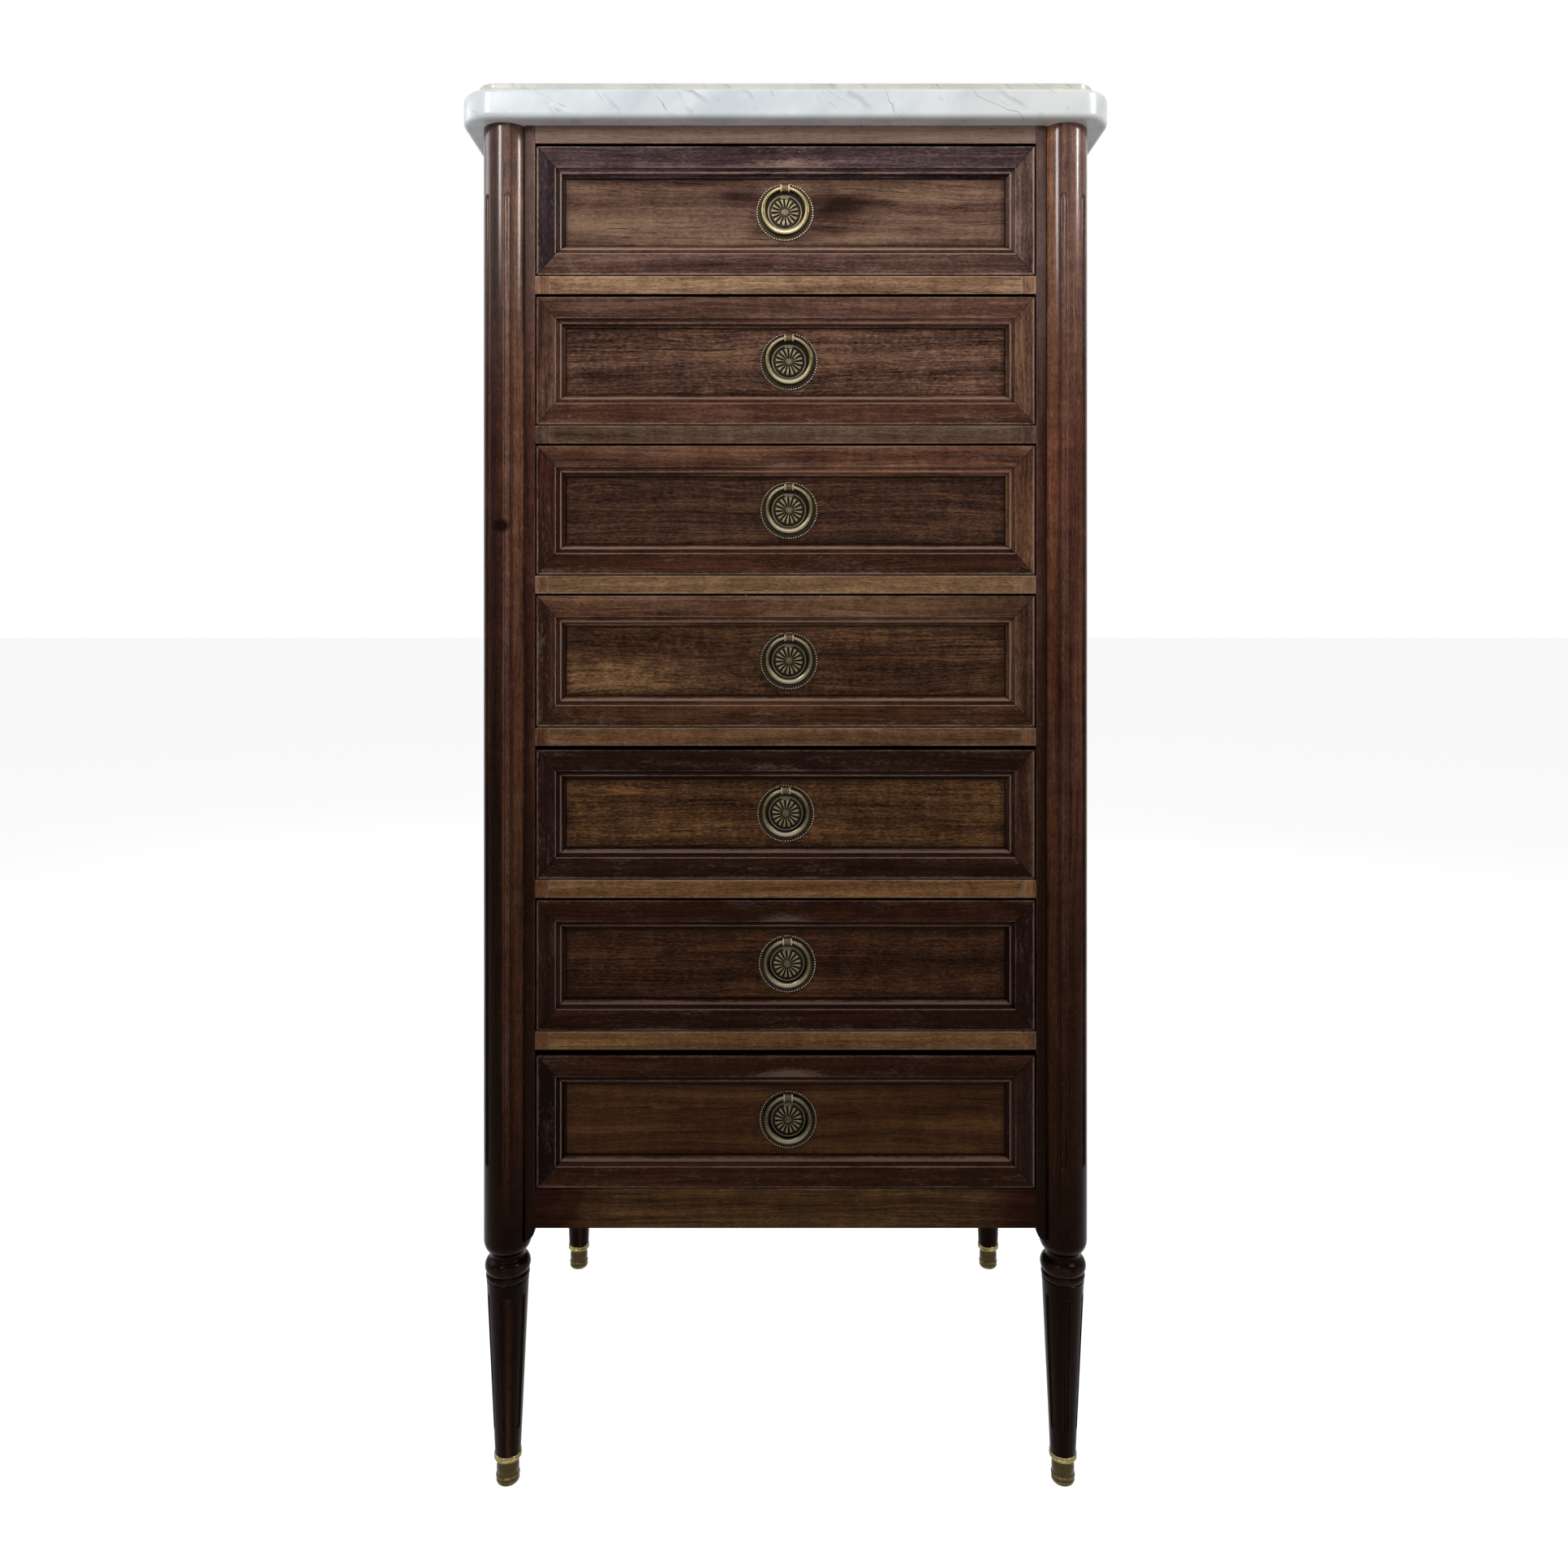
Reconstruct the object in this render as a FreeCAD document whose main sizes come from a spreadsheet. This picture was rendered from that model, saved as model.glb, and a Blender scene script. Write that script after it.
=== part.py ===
"""Tall chest of seven drawers with fluted posts, turned legs, a marble top and brass ring pulls.

The frame's origin is on the floor, midway between the sides of the marble and midway between its
front and back. +Z is up, +X is to the right as the chest is faced, and the drawers open towards -Y.
"""
import FreeCAD, Part
import math
import os
import Sketcher
from FreeCAD import Placement, Rotation, Vector

# Driving sizes in millimetres
SIZES = {
    # Carcass
    "leg_height": 243.7,  # floor to the underside of the apron
    "apron_height": 36.1,
    "apron_depth": 25.0,
    "rail_height": 16.6,
    "rail_depth": 60.0,
    "frieze_height": 16.5,
    "back_rail_depth": 20.0,
    "back_rail_height": 45.0,
    "back_panel_thick": 8.0,
    "side_rail_thick": 22.0,
    "side_rail_height": 60.0,
    "side_panel_thick": 8.0,
    "side_panel_setback": 6.0,  # from the face of the side rails
    "panel_tongue": 6.0,  # how far a side panel stands in its grooves
    "tenon_length": 16.0,
    "tenon_shoulder": 4.0,  # from a rail's faces to its tenon
    "joint_clear": 0.15,
    # Marble
    "marble_width": 600.0,
    "marble_depth": 400.0,
    "marble_thick": 38.0,
    "marble_side_overhang": 18.2,
    "marble_front_overhang": 10.0,
    "marble_rear_overhang": 5.0,
    "marble_corner_radius": 32.0,
    "marble_band_height": 11.0,  # the narrower band over the cove
    "marble_band_inset": 14.0,
    "marble_cove_radius": 7.0,
    "marble_top_arris": 1.5,
    "marble_face_arris": 4.0,
    "marble_under_arris": 5.0,
    # Posts
    "column_radius": 22.0,
    "strip_setback": 7.0,  # from the column's front to the strip, the rails and the drawers
    "opening_reach": 28.4,  # from a column's middle to the opening between the posts
    "strip_width": 6.9,
    "strip_drop": 14.0,  # how far the strip's rounded end hangs below the apron
    "stock_setback": 9.8,  # from the column's outer side to the stock behind it
    "stock_depth": 43.0,  # strip face to the back of the front post
    "rear_post_side": 40.0,
    "rear_post_proud": 2.0,  # past the face of the side rails
    "column_flute_radius": 3.5,
    "column_flute_depth": 2.5,
    "column_flute_foot": 57.0,  # apron's underside to the flutes
    "column_flute_head": 63.6,  # flutes to the top of the post
    # Turned legs and sabots
    "turning_height": 56.7,  # top of the tapered leg to the apron's underside
    "leg_foot_radius": 11.9,
    "leg_flute_head_radius": 3.3,
    "leg_flute_foot_radius": 2.4,
    "leg_flute_margin_head": 7.0,
    "leg_flute_margin_foot": 24.0,
    "sabot_height": 28.8,
    "sabot_radius": 12.4,
    "sabot_bore_radius": 8.6,
    "sabot_floor": 6.0,
    "spigot_clear": 0.1,
    # Runners
    "runner_width": 13.0,  # under a drawer side, inwards from the guide
    "guide_height": 25.0,
    "run_clear": 0.3,
    # Drawers
    "drawer_side_gap": 1.4,
    "drawer_foot_gap": 1.0,
    "drawer_rear_gap": 7.0,
    "front_frame_thick": 12.0,
    "front_board_thick": 8.0,
    "front_panel_recess": 6.5,
    "frame_flat_side": 17.5,
    "frame_flat_end": 19.5,
    "moulding_width": 8.3,
    "box_side_thick": 10.0,
    "box_back_thick": 10.0,
    "box_head_drop": 6.0,
    "box_bottom_lift": 8.0,
    "box_bottom_thick": 6.0,
    "groove_depth": 4.0,
    # Pulls
    "plate_radius": 27.0,
    "ring_radius": 20.7,
    "ring_section_radius": 1.85,
    "ring_stand_off": 3.8,  # panel face to the ring's centre line
    "pivot_lift": 21.8,  # plate centre to the ring's pivot
    "staple_width": 8.5,
    "staple_height": 8.0,
    "staple_bore_radius": 2.7,
    "staple_wall": 1.2,
    "stud_radius": 2.0,
    "stud_tail": 2.0,
    "nut_radius": 4.6,
    "nut_thick": 3.0,
    "metal_clear": 0.1,
}
# The drawers from the top down: each front's height, and the gap over it
FRONT_HEIGHTS = (118.8, 118.0, 119.1, 121.0, 119.1, 120.3, 122.1)
HEAD_GAPS = (2.6, 2.6, 1.9, 1.9, 3.8, 2.3, 5.6)
# How far each pull stands to the right of the middle, in plate radii
PULL_OFFSET_SHARES = (-0.02, 0.12, 0.12, 0.12, 0.01, 0.06, 0.09)

# Turned knop from the leg's top to the apron: share of its height, share of the post's radius,
# and the bulge of the stretch that follows, as a share of its chord
TURNING_SHARES = (
    (0.00, 0.872, 0.0),
    (0.07, 0.886, 0.0),
    (0.08, 0.859, 0.0),
    (0.09, 0.873, 0.16),
    (0.19, 0.873, 0.0),
    (0.20, 0.859, 0.24),
    (0.43, 0.755, 0.0),
    (0.44, 0.727, -0.10),
    (0.52, 0.714, 0.12),
    (0.74, 1.000, 0.0),
)
# Sabot from its foot to its rim: share of its height, share of its radius, bulge
SABOT_SHARES = (
    (0.00, 0.680, 0.20),
    (0.22, 0.860, 0.06),
    (0.62, 0.800, -0.12),
    (0.78, 0.860, 0.0),
    (0.82, 0.960, 0.18),
    (0.95, 1.000, 0.0),
    (1.00, 0.970, 0.0),
)
# Pull plate from its rim to its boss: share of its radius, share of the ring's stand-off, bulge
PLATE_SHARES = (
    (1.000, 0.00, 0.0),
    (1.000, 0.30, 0.35),
    (0.915, 0.55, 0.0),
    (0.895, 0.37, 0.04),
    (0.652, 0.37, 0.0),
    (0.640, 0.53, 0.0),
    (0.600, 0.53, 0.0),
    (0.590, 0.40, 0.0),
    (0.510, 0.40, 0.0),
    (0.480, 0.47, 0.07),
    (0.130, 0.58, 0.0),
    (0.100, 0.68, 0.0),
)
# Depths and insets of the two sloped steps of the drawer moulding, as shares of its recess and width
MOULDING_SHARES = (((0.0, 0.0), (0.34, 0.18)), ((0.34, 0.54), (0.77, 0.82)))
FLUTE_ANGLES = (-102.0, -45.0, 12.0)
LEG_FLUTE_COUNT = 6
LEG_FLUTE_START = -90.0
NUT_SIDES = 6
# A leg flute's centre line stands outside the leg's surface by this share of the flute's radius
FLUTE_SINK_SHARE = 0.3
# Bulge of a quarter circle, as a share of its chord
QUARTER_BULGE_SHARE = math.tan(math.radians(22.5)) / 2

DRAWERS = range(1, len(FRONT_HEIGHTS) + 1)
for k in DRAWERS:
    SIZES[f"front_height_{k}"] = FRONT_HEIGHTS[k - 1]
    SIZES[f"head_gap_{k}"] = HEAD_GAPS[k - 1]

document = FreeCAD.newDocument("chest_of_drawers")
sheet = document.addObject("Spreadsheet::Sheet", "Sizes")
for row, (alias, value) in enumerate(SIZES.items(), start=1):
    sheet.set(f"A{row}", alias)
    sheet.set(f"B{row}", str(value))
    sheet.setAlias(f"B{row}", alias)
document.recompute()


class Measure:
    """A length with its number in millimetres and the same length as a formula of the sheet's cells."""

    def __init__(self, number, formula):
        self.number = float(number)
        self.formula = formula

    def __add__(self, other):
        other = measured(other)
        return Measure(self.number + other.number, f"({self.formula} + {other.formula})")

    def __sub__(self, other):
        other = measured(other)
        return Measure(self.number - other.number, f"({self.formula} - {other.formula})")

    def __mul__(self, other):
        other = measured(other)
        return Measure(self.number * other.number, f"({self.formula} * {other.formula})")

    def __truediv__(self, other):
        other = measured(other)
        return Measure(self.number / other.number, f"({self.formula} / {other.formula})")

    def __neg__(self):
        return self * -1

    def root(self):
        return Measure(math.sqrt(self.number), f"sqrt({self.formula})")


def measured(value):
    """A bare number as a measure, and a measure as it is."""
    return value if isinstance(value, Measure) else Measure(value, f"({value})")


def size(alias):
    """The measure of one cell of the sheet."""
    return Measure(SIZES[alias], f"Sizes.{alias}")


def bind(feature, prop, value):
    """Ties one property of a feature to a measure."""
    feature.setExpression(prop, measured(value).formula)


def place(feature, point, rotation=None):
    """Ties a feature's place to three measures, after turning it."""
    if rotation is not None:
        feature.Placement = Placement(Vector(), rotation)
    for prop, value in zip("xyz", point):
        bind(feature, f"Placement.Base.{prop}", value)
    return feature


def box(name, low, high):
    """A block between two corners."""
    feature = document.addObject("Part::Box", name)
    for prop, start, end in zip(("Length", "Width", "Height"), low, high):
        bind(feature, prop, measured(end) - start)
    return place(feature, low)


def cylinder(name, radius, length, point, rotation=None):
    """A round bar whose first end is centred on a point."""
    feature = document.addObject("Part::Cylinder", name)
    bind(feature, "Radius", radius)
    bind(feature, "Height", length)
    return place(feature, point, rotation)


def frustum(name, near, far, first, last, rotation=None, point=(0, 0, 0)):
    """A block along Y from near to far, with its X and Z limits given at each end."""
    feature = document.addObject("Part::Wedge", name)
    values = dict(Ymin=near, Xmin=first[0], Xmax=first[1], Zmin=first[2], Zmax=first[3])
    values.update(Ymax=far, X2min=last[0], X2max=last[1], Z2min=last[2], Z2max=last[3])
    for prop, value in values.items():
        bind(feature, prop, value)
    return place(feature, point, rotation)


def fused(name, features):
    """One solid from several that overlap or meet."""
    feature = document.addObject("Part::MultiFuse", name)
    feature.Shapes = list(features)
    feature.Refine = True
    return feature


def group(name, features):
    """Separate solids kept together."""
    feature = document.addObject("Part::Compound", name)
    feature.Links = list(features)
    return feature


def cut(name, base, tools):
    """A feature with others cut away from it."""
    tools = list(tools)
    feature = document.addObject("Part::Cut", name)
    feature.Base = base
    feature.Tool = tools[0] if len(tools) == 1 else fused(f"{name}_tools", tools)
    return feature


def mirrored(name, source):
    """The same piece on the other side of the middle plane."""
    feature = document.addObject("Part::Mirroring", name)
    feature.Source = source
    feature.Normal = Vector(1, 0, 0)
    return feature


def origin_plane(body, role):
    """One of a body's own origin planes."""
    return next(plane for plane in body.Origin.OriginFeatures if plane.Role == role)


def outline(body, name, role, corners):
    """A closed, fully dimensioned sketch on an origin plane.

    Each corner is (x, y, bulge). The bulge belongs to the stretch that starts there: the height of
    its arc as a share of its chord, positive towards the right of the way along.
    """
    sketch = body.newObject("Sketcher::SketchObject", name)
    sketch.AttachmentSupport = [(origin_plane(body, role), "")]
    sketch.MapMode = "FlatFace"
    corners = [(measured(x), measured(y), bulge) for x, y, bulge in corners]
    ends = corners[1:] + corners[:1]
    for (x, y, bulge), (next_x, next_y, _) in zip(corners, ends):
        start = Vector(x.number, y.number, 0)
        end = Vector(next_x.number, next_y.number, 0)
        if bulge:
            along = end - start
            middle = (start + end) * 0.5 + Vector(along.y, -along.x, 0) * bulge
            sketch.addGeometry(Part.Arc(start, middle, end), False)
        else:
            sketch.addGeometry(Part.LineSegment(start, end), False)
    # A sketch keeps every arc anticlockwise, so a hollow one starts where this outline leaves it
    order = [(2, 1) if bulge < 0 else (1, 2) for _, _, bulge in corners]
    count = len(corners)
    for i, ((x, y, bulge), (next_x, next_y, _)) in enumerate(zip(corners, ends)):
        follower = (i + 1) % count
        joint = Sketcher.Constraint("Coincident", i, order[i][1], follower, order[follower][0])
        sketch.addConstraint(joint)
        for kind, value in (("DistanceX", x), ("DistanceY", y)):
            index = sketch.addConstraint(Sketcher.Constraint(kind, -1, 1, i, order[i][0], value.number))
            bind(sketch, f"Constraints[{index}]", value)
        if bulge:
            run, rise = next_x - x, next_y - y
            arc_share = (0.25 + bulge * bulge) / (2 * abs(bulge))
            radius = (run * run + rise * rise).root() * arc_share
            index = sketch.addConstraint(Sketcher.Constraint("Radius", i, radius.number))
            bind(sketch, f"Constraints[{index}]", radius)
    return sketch


def turned(name, corners):
    """A body turned about its own Z axis from (radius, height, bulge) corners."""
    body = document.addObject("PartDesign::Body", name)
    sketch = outline(body, f"{name}_profile", "XZ_Plane", corners)
    revolution = body.newObject("PartDesign::Revolution", f"{name}_turning")
    revolution.Profile = sketch
    revolution.ReferenceAxis = (sketch, ["V_Axis"])
    revolution.Angle = 360
    return body


# Places that several pieces share
marble_front = -(size("marble_depth") / 2)
marble_back = size("marble_depth") / 2
column_x = size("marble_width") / 2 - size("marble_side_overhang") - size("column_radius")
opening_half = column_x - size("opening_reach")
column_y = marble_front + size("marble_front_overhang") + size("column_radius")
front_y = marble_front + size("marble_front_overhang") + size("strip_setback")
stock_back = front_y + size("stock_depth")
carcass_back = marble_back - size("marble_rear_overhang")
side_face = column_x + size("column_radius") - size("stock_setback")
rear_post_out = side_face + size("rear_post_proud")
rear_post_in = rear_post_out - size("rear_post_side")
rear_post_front = carcass_back - size("rear_post_side")
rear_axis = (rear_post_out - size("rear_post_side") / 2, carcass_back - size("rear_post_side") / 2)
side_rail_in = side_face - size("side_rail_thick")
panel_out = side_face - size("side_panel_setback")
panel_in = panel_out - size("side_panel_thick")
back_panel_rear = carcass_back - size("back_rail_depth")
back_panel_front = back_panel_rear - size("back_panel_thick")
apron_foot = size("leg_height")
apron_head = apron_foot + size("apron_height")

# Levels of the drawers, worked out from the bottom up
seats, front_feet, front_heads = {}, {}, {}
level = apron_head
for k in reversed(DRAWERS):
    seats[k] = level
    front_feet[k] = level + size("drawer_foot_gap")
    front_heads[k] = front_feet[k] + size(f"front_height_{k}")
    level = front_heads[k] + size(f"head_gap_{k}")
    if k > 1:
        level = level + size("rail_height")
frieze_foot = level
carcass_head = frieze_foot + size("frieze_height")

pieces = {}
turn_forward = Rotation(Vector(1, 0, 0), 90)


def marble_outline(body, name, inset):
    """Plan of the top: two rounded front corners, a plain back."""
    quarter_bulge = (1 - math.sqrt(0.5)) / math.sqrt(2)
    radius = size("marble_corner_radius") - inset
    side = size("marble_width") / 2 - inset
    front = marble_front + inset
    corners = (
        (-side, marble_back, 0),
        (-side, front + radius, quarter_bulge),
        (radius - side, front, 0),
        (side - radius, front, quarter_bulge),
        (side, front + radius, 0),
        (side, marble_back, 0),
    )
    return outline(body, name, "XY_Plane", corners)


def pad(body, name, sketch, length):
    """Thickens a sketch upwards."""
    feature = body.newObject("PartDesign::Pad", name)
    feature.Profile = sketch
    bind(feature, "Length", length)
    return feature


def rounded(body, name, base, radius, picked):
    """Rounds the edges of a feature that a test picks."""
    names = [f"Edge{i}" for i, edge in enumerate(base.Shape.Edges, start=1) if picked(edge)]
    feature = body.newObject("PartDesign::Fillet", name)
    feature.Base = (base, names)
    bind(feature, "Radius", radius)
    return feature


def make_marble():
    """The slab, its inset upper band, the cove between them and the eased edges."""
    body = document.addObject("PartDesign::Body", "marble_top")
    slab_height = size("marble_thick") - size("marble_band_height")
    slab = pad(body, "slab", marble_outline(body, "slab_plan", measured(0)), slab_height)
    plan = marble_outline(body, "band_plan", size("marble_band_inset"))
    band = pad(body, "band", plan, size("marble_thick"))
    document.recompute()
    side = size("marble_width").number / 2
    tolerance = size("joint_clear").number

    def around(height, inset):
        """Picks the level edges of an outline drawn in by an inset, leaving out the plain back."""

        def picked(edge):
            limits = edge.BoundBox
            is_level = abs(limits.ZMin - height) < tolerance and abs(limits.ZMax - height) < tolerance
            at_back = limits.YMin > marble_back.number - tolerance
            outside = side - inset - max(abs(limits.XMin), abs(limits.XMax))
            ahead = limits.YMin - marble_front.number - inset
            return is_level and not at_back and abs(min(outside, ahead)) < tolerance

        return picked

    band_inset = size("marble_band_inset").number
    step = slab_height.number
    rounds = (
        ("cove", "marble_cove_radius", around(step, band_inset)),
        ("top_edge", "marble_top_arris", around(size("marble_thick").number, band_inset)),
        ("face_edge", "marble_face_arris", around(step, 0)),
        ("under_edge", "marble_under_arris", around(0, 0)),
    )
    last = band
    for name, radius, picked in rounds:
        last = rounded(body, name, last, size(radius), picked)
        document.recompute()
    place(body, (0, 0, carcass_head))
    pieces["marble_top"] = body


def flute(name, axis, azimuth, foot, head, foot_radius, head_radius):
    """A round-ended channel cutter between two points, each a distance from the axis and a height."""
    run, rise = head[0] - foot[0], head[1] - foot[1]
    length = (run * run + rise * rise).root()
    lean = math.degrees(math.atan2(run.number, rise.number))
    turn = Rotation(Vector(0, 0, 1), azimuth)
    cosine, sine = math.cos(math.radians(azimuth)), math.sin(math.radians(azimuth))
    foot_place = (axis[0] + foot[0] * cosine, axis[1] + foot[0] * sine, foot[1])
    corners = [(0, -foot_radius, QUARTER_BULGE_SHARE), (foot_radius, 0, 0)]
    corners += [(head_radius, length, QUARTER_BULGE_SHARE), (0, length + head_radius, 0)]
    return place(turned(name, corners), foot_place, turn * Rotation(Vector(0, 1, 0), lean))


def turned_leg(name, axis, radius, head):
    """The tapered leg, the turned knop over it and the round stock above, up to a given height."""
    leg_head = apron_foot - size("turning_height")
    spigot = size("sabot_bore_radius") - size("spigot_clear")
    foot = size("sabot_floor") + size("spigot_clear")
    corners = [(0, foot, 0), (spigot, foot, 0), (spigot, size("sabot_height"), 0)]
    corners.append((size("leg_foot_radius"), size("sabot_height"), 0))
    for rise, reach, bulge in TURNING_SHARES:
        corners.append((radius * reach, leg_head + size("turning_height") * rise, bulge))
    corners += [(radius, head, 0), (0, head, 0)]
    body = turned(name, corners)
    return place(body, (axis[0], axis[1], 0))


def leg_flutes(name, axis, radius):
    """Cutters for the channels around one tapered leg."""
    head_height = apron_foot - size("turning_height") - size("leg_flute_margin_head")
    foot_height = size("sabot_height") + size("leg_flute_margin_foot")
    taper_rise = apron_foot - size("turning_height") - size("sabot_height")
    spread = radius * TURNING_SHARES[0][1] - size("leg_foot_radius")
    head_radius = size("leg_flute_head_radius")
    foot_radius = size("leg_flute_foot_radius")

    def reach(height, flute_radius):
        surface = size("leg_foot_radius") + spread * (height - size("sabot_height")) / taper_rise
        return surface + flute_radius * FLUTE_SINK_SHARE

    tools = []
    for i in range(LEG_FLUTE_COUNT):
        azimuth = LEG_FLUTE_START + i * 360 / LEG_FLUTE_COUNT
        head_top = head_height - head_radius
        foot_low = foot_height + foot_radius
        foot = (reach(foot_low, foot_radius), foot_low)
        head = (reach(head_top, head_radius), head_top)
        tools.append(flute(f"{name}_flute_{i + 1}", axis, azimuth, foot, head, foot_radius, head_radius))
    return tools


def tenoned(name, low, high, along):
    """A rail with a tenon on each end along X (0) or Y (1), and the corners of its two tenons."""
    shoulder, length = size("tenon_shoulder"), size("tenon_length")
    ends = []
    for low_end in (True, False):
        first = [measured(value) + shoulder for value in low]
        last = [measured(value) - shoulder for value in high]
        if low_end:
            first[along], last[along] = measured(low[along]) - length, measured(low[along])
        else:
            first[along], last[along] = measured(high[along]), measured(high[along]) + length
        ends.append((first, last))
    tenons = [box(f"{name}_tenon_{i}", *corners) for i, corners in enumerate(ends, start=1)]
    return fused(name, [box(f"{name}_board", low, high)] + tenons), ends


def eased(name, corners):
    """A cutter that is larger all round than a tenon or a panel, by the joint's clearance."""
    clear = size("joint_clear")
    low, high = [list(side) for side in corners]
    for axis in range(3):
        low[axis] = low[axis] - clear
        high[axis] = high[axis] + clear
    return box(name, low, high)


def make_front_rails():
    """The frieze, the divider rails and the apron, and where their tenons enter the right post."""
    entries = []
    spans = {"top_front_rail": (frieze_foot, carcass_head, size("rail_depth"))}
    for k in DRAWERS[:-1]:
        spans[f"divider_rail_{k}"] = (seats[k] - size("rail_height"), seats[k], size("rail_depth"))
    spans["bottom_front_rail"] = (apron_foot, apron_head, size("apron_depth"))
    for name, (foot, head, depth) in spans.items():
        low = (-opening_half, front_y, foot)
        high = (opening_half, front_y + depth, head)
        shoulder, length = size("tenon_shoulder"), size("tenon_length")
        back = stock_back - shoulder
        tenons = []
        for side in (-1, 1):
            root, tip = opening_half * side, (opening_half + length) * side
            near, far = (tip, root) if side < 0 else (root, tip)
            inner = front_y + size("column_radius") - size("strip_setback") + shoulder / 2
            if name == "bottom_front_rail":
                inner, back = front_y + shoulder, front_y + depth - shoulder
            corners = ((near, inner, foot + shoulder), (far, back, head - shoulder))
            tenons.append(box(f"{name}_tenon_{side + 2}", *corners))
        entries.append(corners)
        pieces[name] = fused(name, [box(f"{name}_board", low, high)] + tenons)
    return entries


def make_side_frame():
    """Right side rails with their tenons and grooves, and the panel they hold."""
    low_y, high_y = stock_back, rear_post_front
    height, tongue = size("side_rail_height"), size("panel_tongue")
    levels = ((apron_foot, apron_foot + height), (carcass_head - height, carcass_head))
    panel_low = (panel_in, low_y - tongue, levels[0][1] - tongue)
    panel_high = (panel_out, high_y + tongue, levels[1][0] + tongue)
    rails, entries = [], []
    for i, (foot, head) in enumerate(levels, start=1):
        rail, ends = tenoned(f"side_rail_{i}", (side_rail_in, low_y, foot), (side_face, high_y, head), 1)
        groove = eased(f"side_rail_groove_{i}", (panel_low, panel_high))
        rails.append(cut(f"side_rail_cut_{i}", rail, [groove]))
        entries.append(ends)
    pieces["right_side_rails"] = group("right_side_rails", rails)
    pieces["right_side_panel"] = box("right_side_panel", panel_low, panel_high)
    return entries, (panel_low, panel_high)


def make_rear_frame():
    """Rear rails and the back panel, and where the rails' tenons enter the right post."""
    height = size("back_rail_height")
    rails, entries = [], []
    for i, foot in enumerate((apron_foot, carcass_head - height), start=1):
        low = (-rear_post_in, back_panel_rear, foot)
        high = (rear_post_in, carcass_back, foot + height)
        rail, ends = tenoned(f"rear_rail_{i}", low, high, 0)
        rails.append(rail)
        entries.append(ends[1])
    pieces["rear_rails"] = group("rear_rails", rails)
    low = (-rear_post_in, back_panel_front, apron_foot)
    high = (rear_post_in, back_panel_rear, carcass_head)
    pieces["back_panel"] = box("back_panel", low, high)
    return entries


def make_front_post(front_entries, side_entries, panel):
    """Right front post: fluted column, inner strip, square stock behind and the turned leg."""
    axis, radius = (column_x, column_y), size("column_radius")
    shaft = turned_leg("front_turning", axis, radius, carcass_head)
    stock = box("front_stock", (opening_half, column_y, apron_foot), (side_face, stock_back, carcass_head))
    strip_out = opening_half + size("strip_width")
    strip_foot = apron_foot - size("strip_drop")
    strip_low = (opening_half, front_y, strip_foot)
    strip_block = box("strip_block", strip_low, (strip_out, column_y, carcass_head))
    drop = size("strip_drop")
    corner = box("strip_corner", strip_low, (opening_half + drop, column_y, apron_foot))
    length = column_y - front_y
    forward = Rotation(Vector(1, 0, 0), -90)
    round_end = cylinder("strip_round", drop, length, (opening_half + drop, front_y, apron_foot), forward)
    strip = cut("strip", strip_block, [cut("strip_waste", corner, [round_end])])
    whole = fused("front_post_whole", [shaft, stock, strip])
    tools = []
    foot = apron_foot + size("column_flute_foot") + size("column_flute_radius")
    head = carcass_head - size("column_flute_head") - size("column_flute_radius")
    reach = radius + size("column_flute_radius") - size("column_flute_depth")
    flute_radius = size("column_flute_radius")
    for i, azimuth in enumerate(FLUTE_ANGLES, start=1):
        ends = ((reach, foot), (reach, head))
        tools.append(flute(f"column_flute_{i}", axis, azimuth, *ends, flute_radius, flute_radius))
    tools += leg_flutes("front_leg", axis, radius)
    for i, corners in enumerate(front_entries, start=1):
        tools.append(eased(f"front_mortise_{i}", corners))
    for i, ends in enumerate(side_entries, start=1):
        tools.append(eased(f"front_side_mortise_{i}", ends[0]))
    tools.append(eased("front_panel_groove", panel))
    pieces["right_front_post"] = cut("right_front_post", whole, tools)


def make_rear_post(rear_entries, side_entries, panel):
    """Right rear post: square stile and turned leg."""
    radius = size("rear_post_side") / 2
    shaft = turned_leg("rear_turning", rear_axis, radius, apron_foot + radius)
    low = (rear_post_in, rear_post_front, apron_foot)
    stile = box("rear_stile", low, (rear_post_out, carcass_back, carcass_head))
    tools = leg_flutes("rear_leg", rear_axis, radius)
    for i, corners in enumerate(rear_entries, start=1):
        tools.append(eased(f"rear_mortise_{i}", corners))
    for i, ends in enumerate(side_entries, start=1):
        tools.append(eased(f"rear_side_mortise_{i}", ends[1]))
    tools.append(eased("rear_panel_groove", panel))
    pieces["right_rear_post"] = cut("right_rear_post", fused("rear_post_whole", [shaft, stile]), tools)


def make_sabots():
    """Brass cups on the feet, each with a blind socket for the leg's spigot."""
    height, radius = size("sabot_height"), size("sabot_radius")
    bore, floor = size("sabot_bore_radius"), size("sabot_floor")
    for end, axis in (("front", (column_x, column_y)), ("rear", rear_axis)):
        corners = [(0, 0, 0)]
        corners += [(radius * reach, height * rise, bulge) for rise, reach, bulge in SABOT_SHARES]
        corners += [(bore, height, 0), (bore, floor, 0), (0, floor, 0)]
        sabot = turned(f"right_{end}_sabot", corners)
        pieces[f"right_{end}_sabot"] = place(sabot, (axis[0], axis[1], 0))


def make_runners():
    """Right-hand runners under the drawer sides, and the guides that keep the drawers straight."""
    solids = []
    for k in DRAWERS:
        start = stock_back if k == DRAWERS[-1] else front_y + size("rail_depth")
        low = (opening_half - size("runner_width"), start, seats[k] - size("rail_height"))
        solids.append(box(f"runner_{k}", low, (side_rail_in, rear_post_front, seats[k])))
        low = (opening_half, stock_back, seats[k])
        high = (side_rail_in, rear_post_front, seats[k] + size("guide_height"))
        solids.append(box(f"guide_{k}", low, high))
    pieces["drawer_runners_right"] = group("drawer_runners_right", solids)


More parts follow.
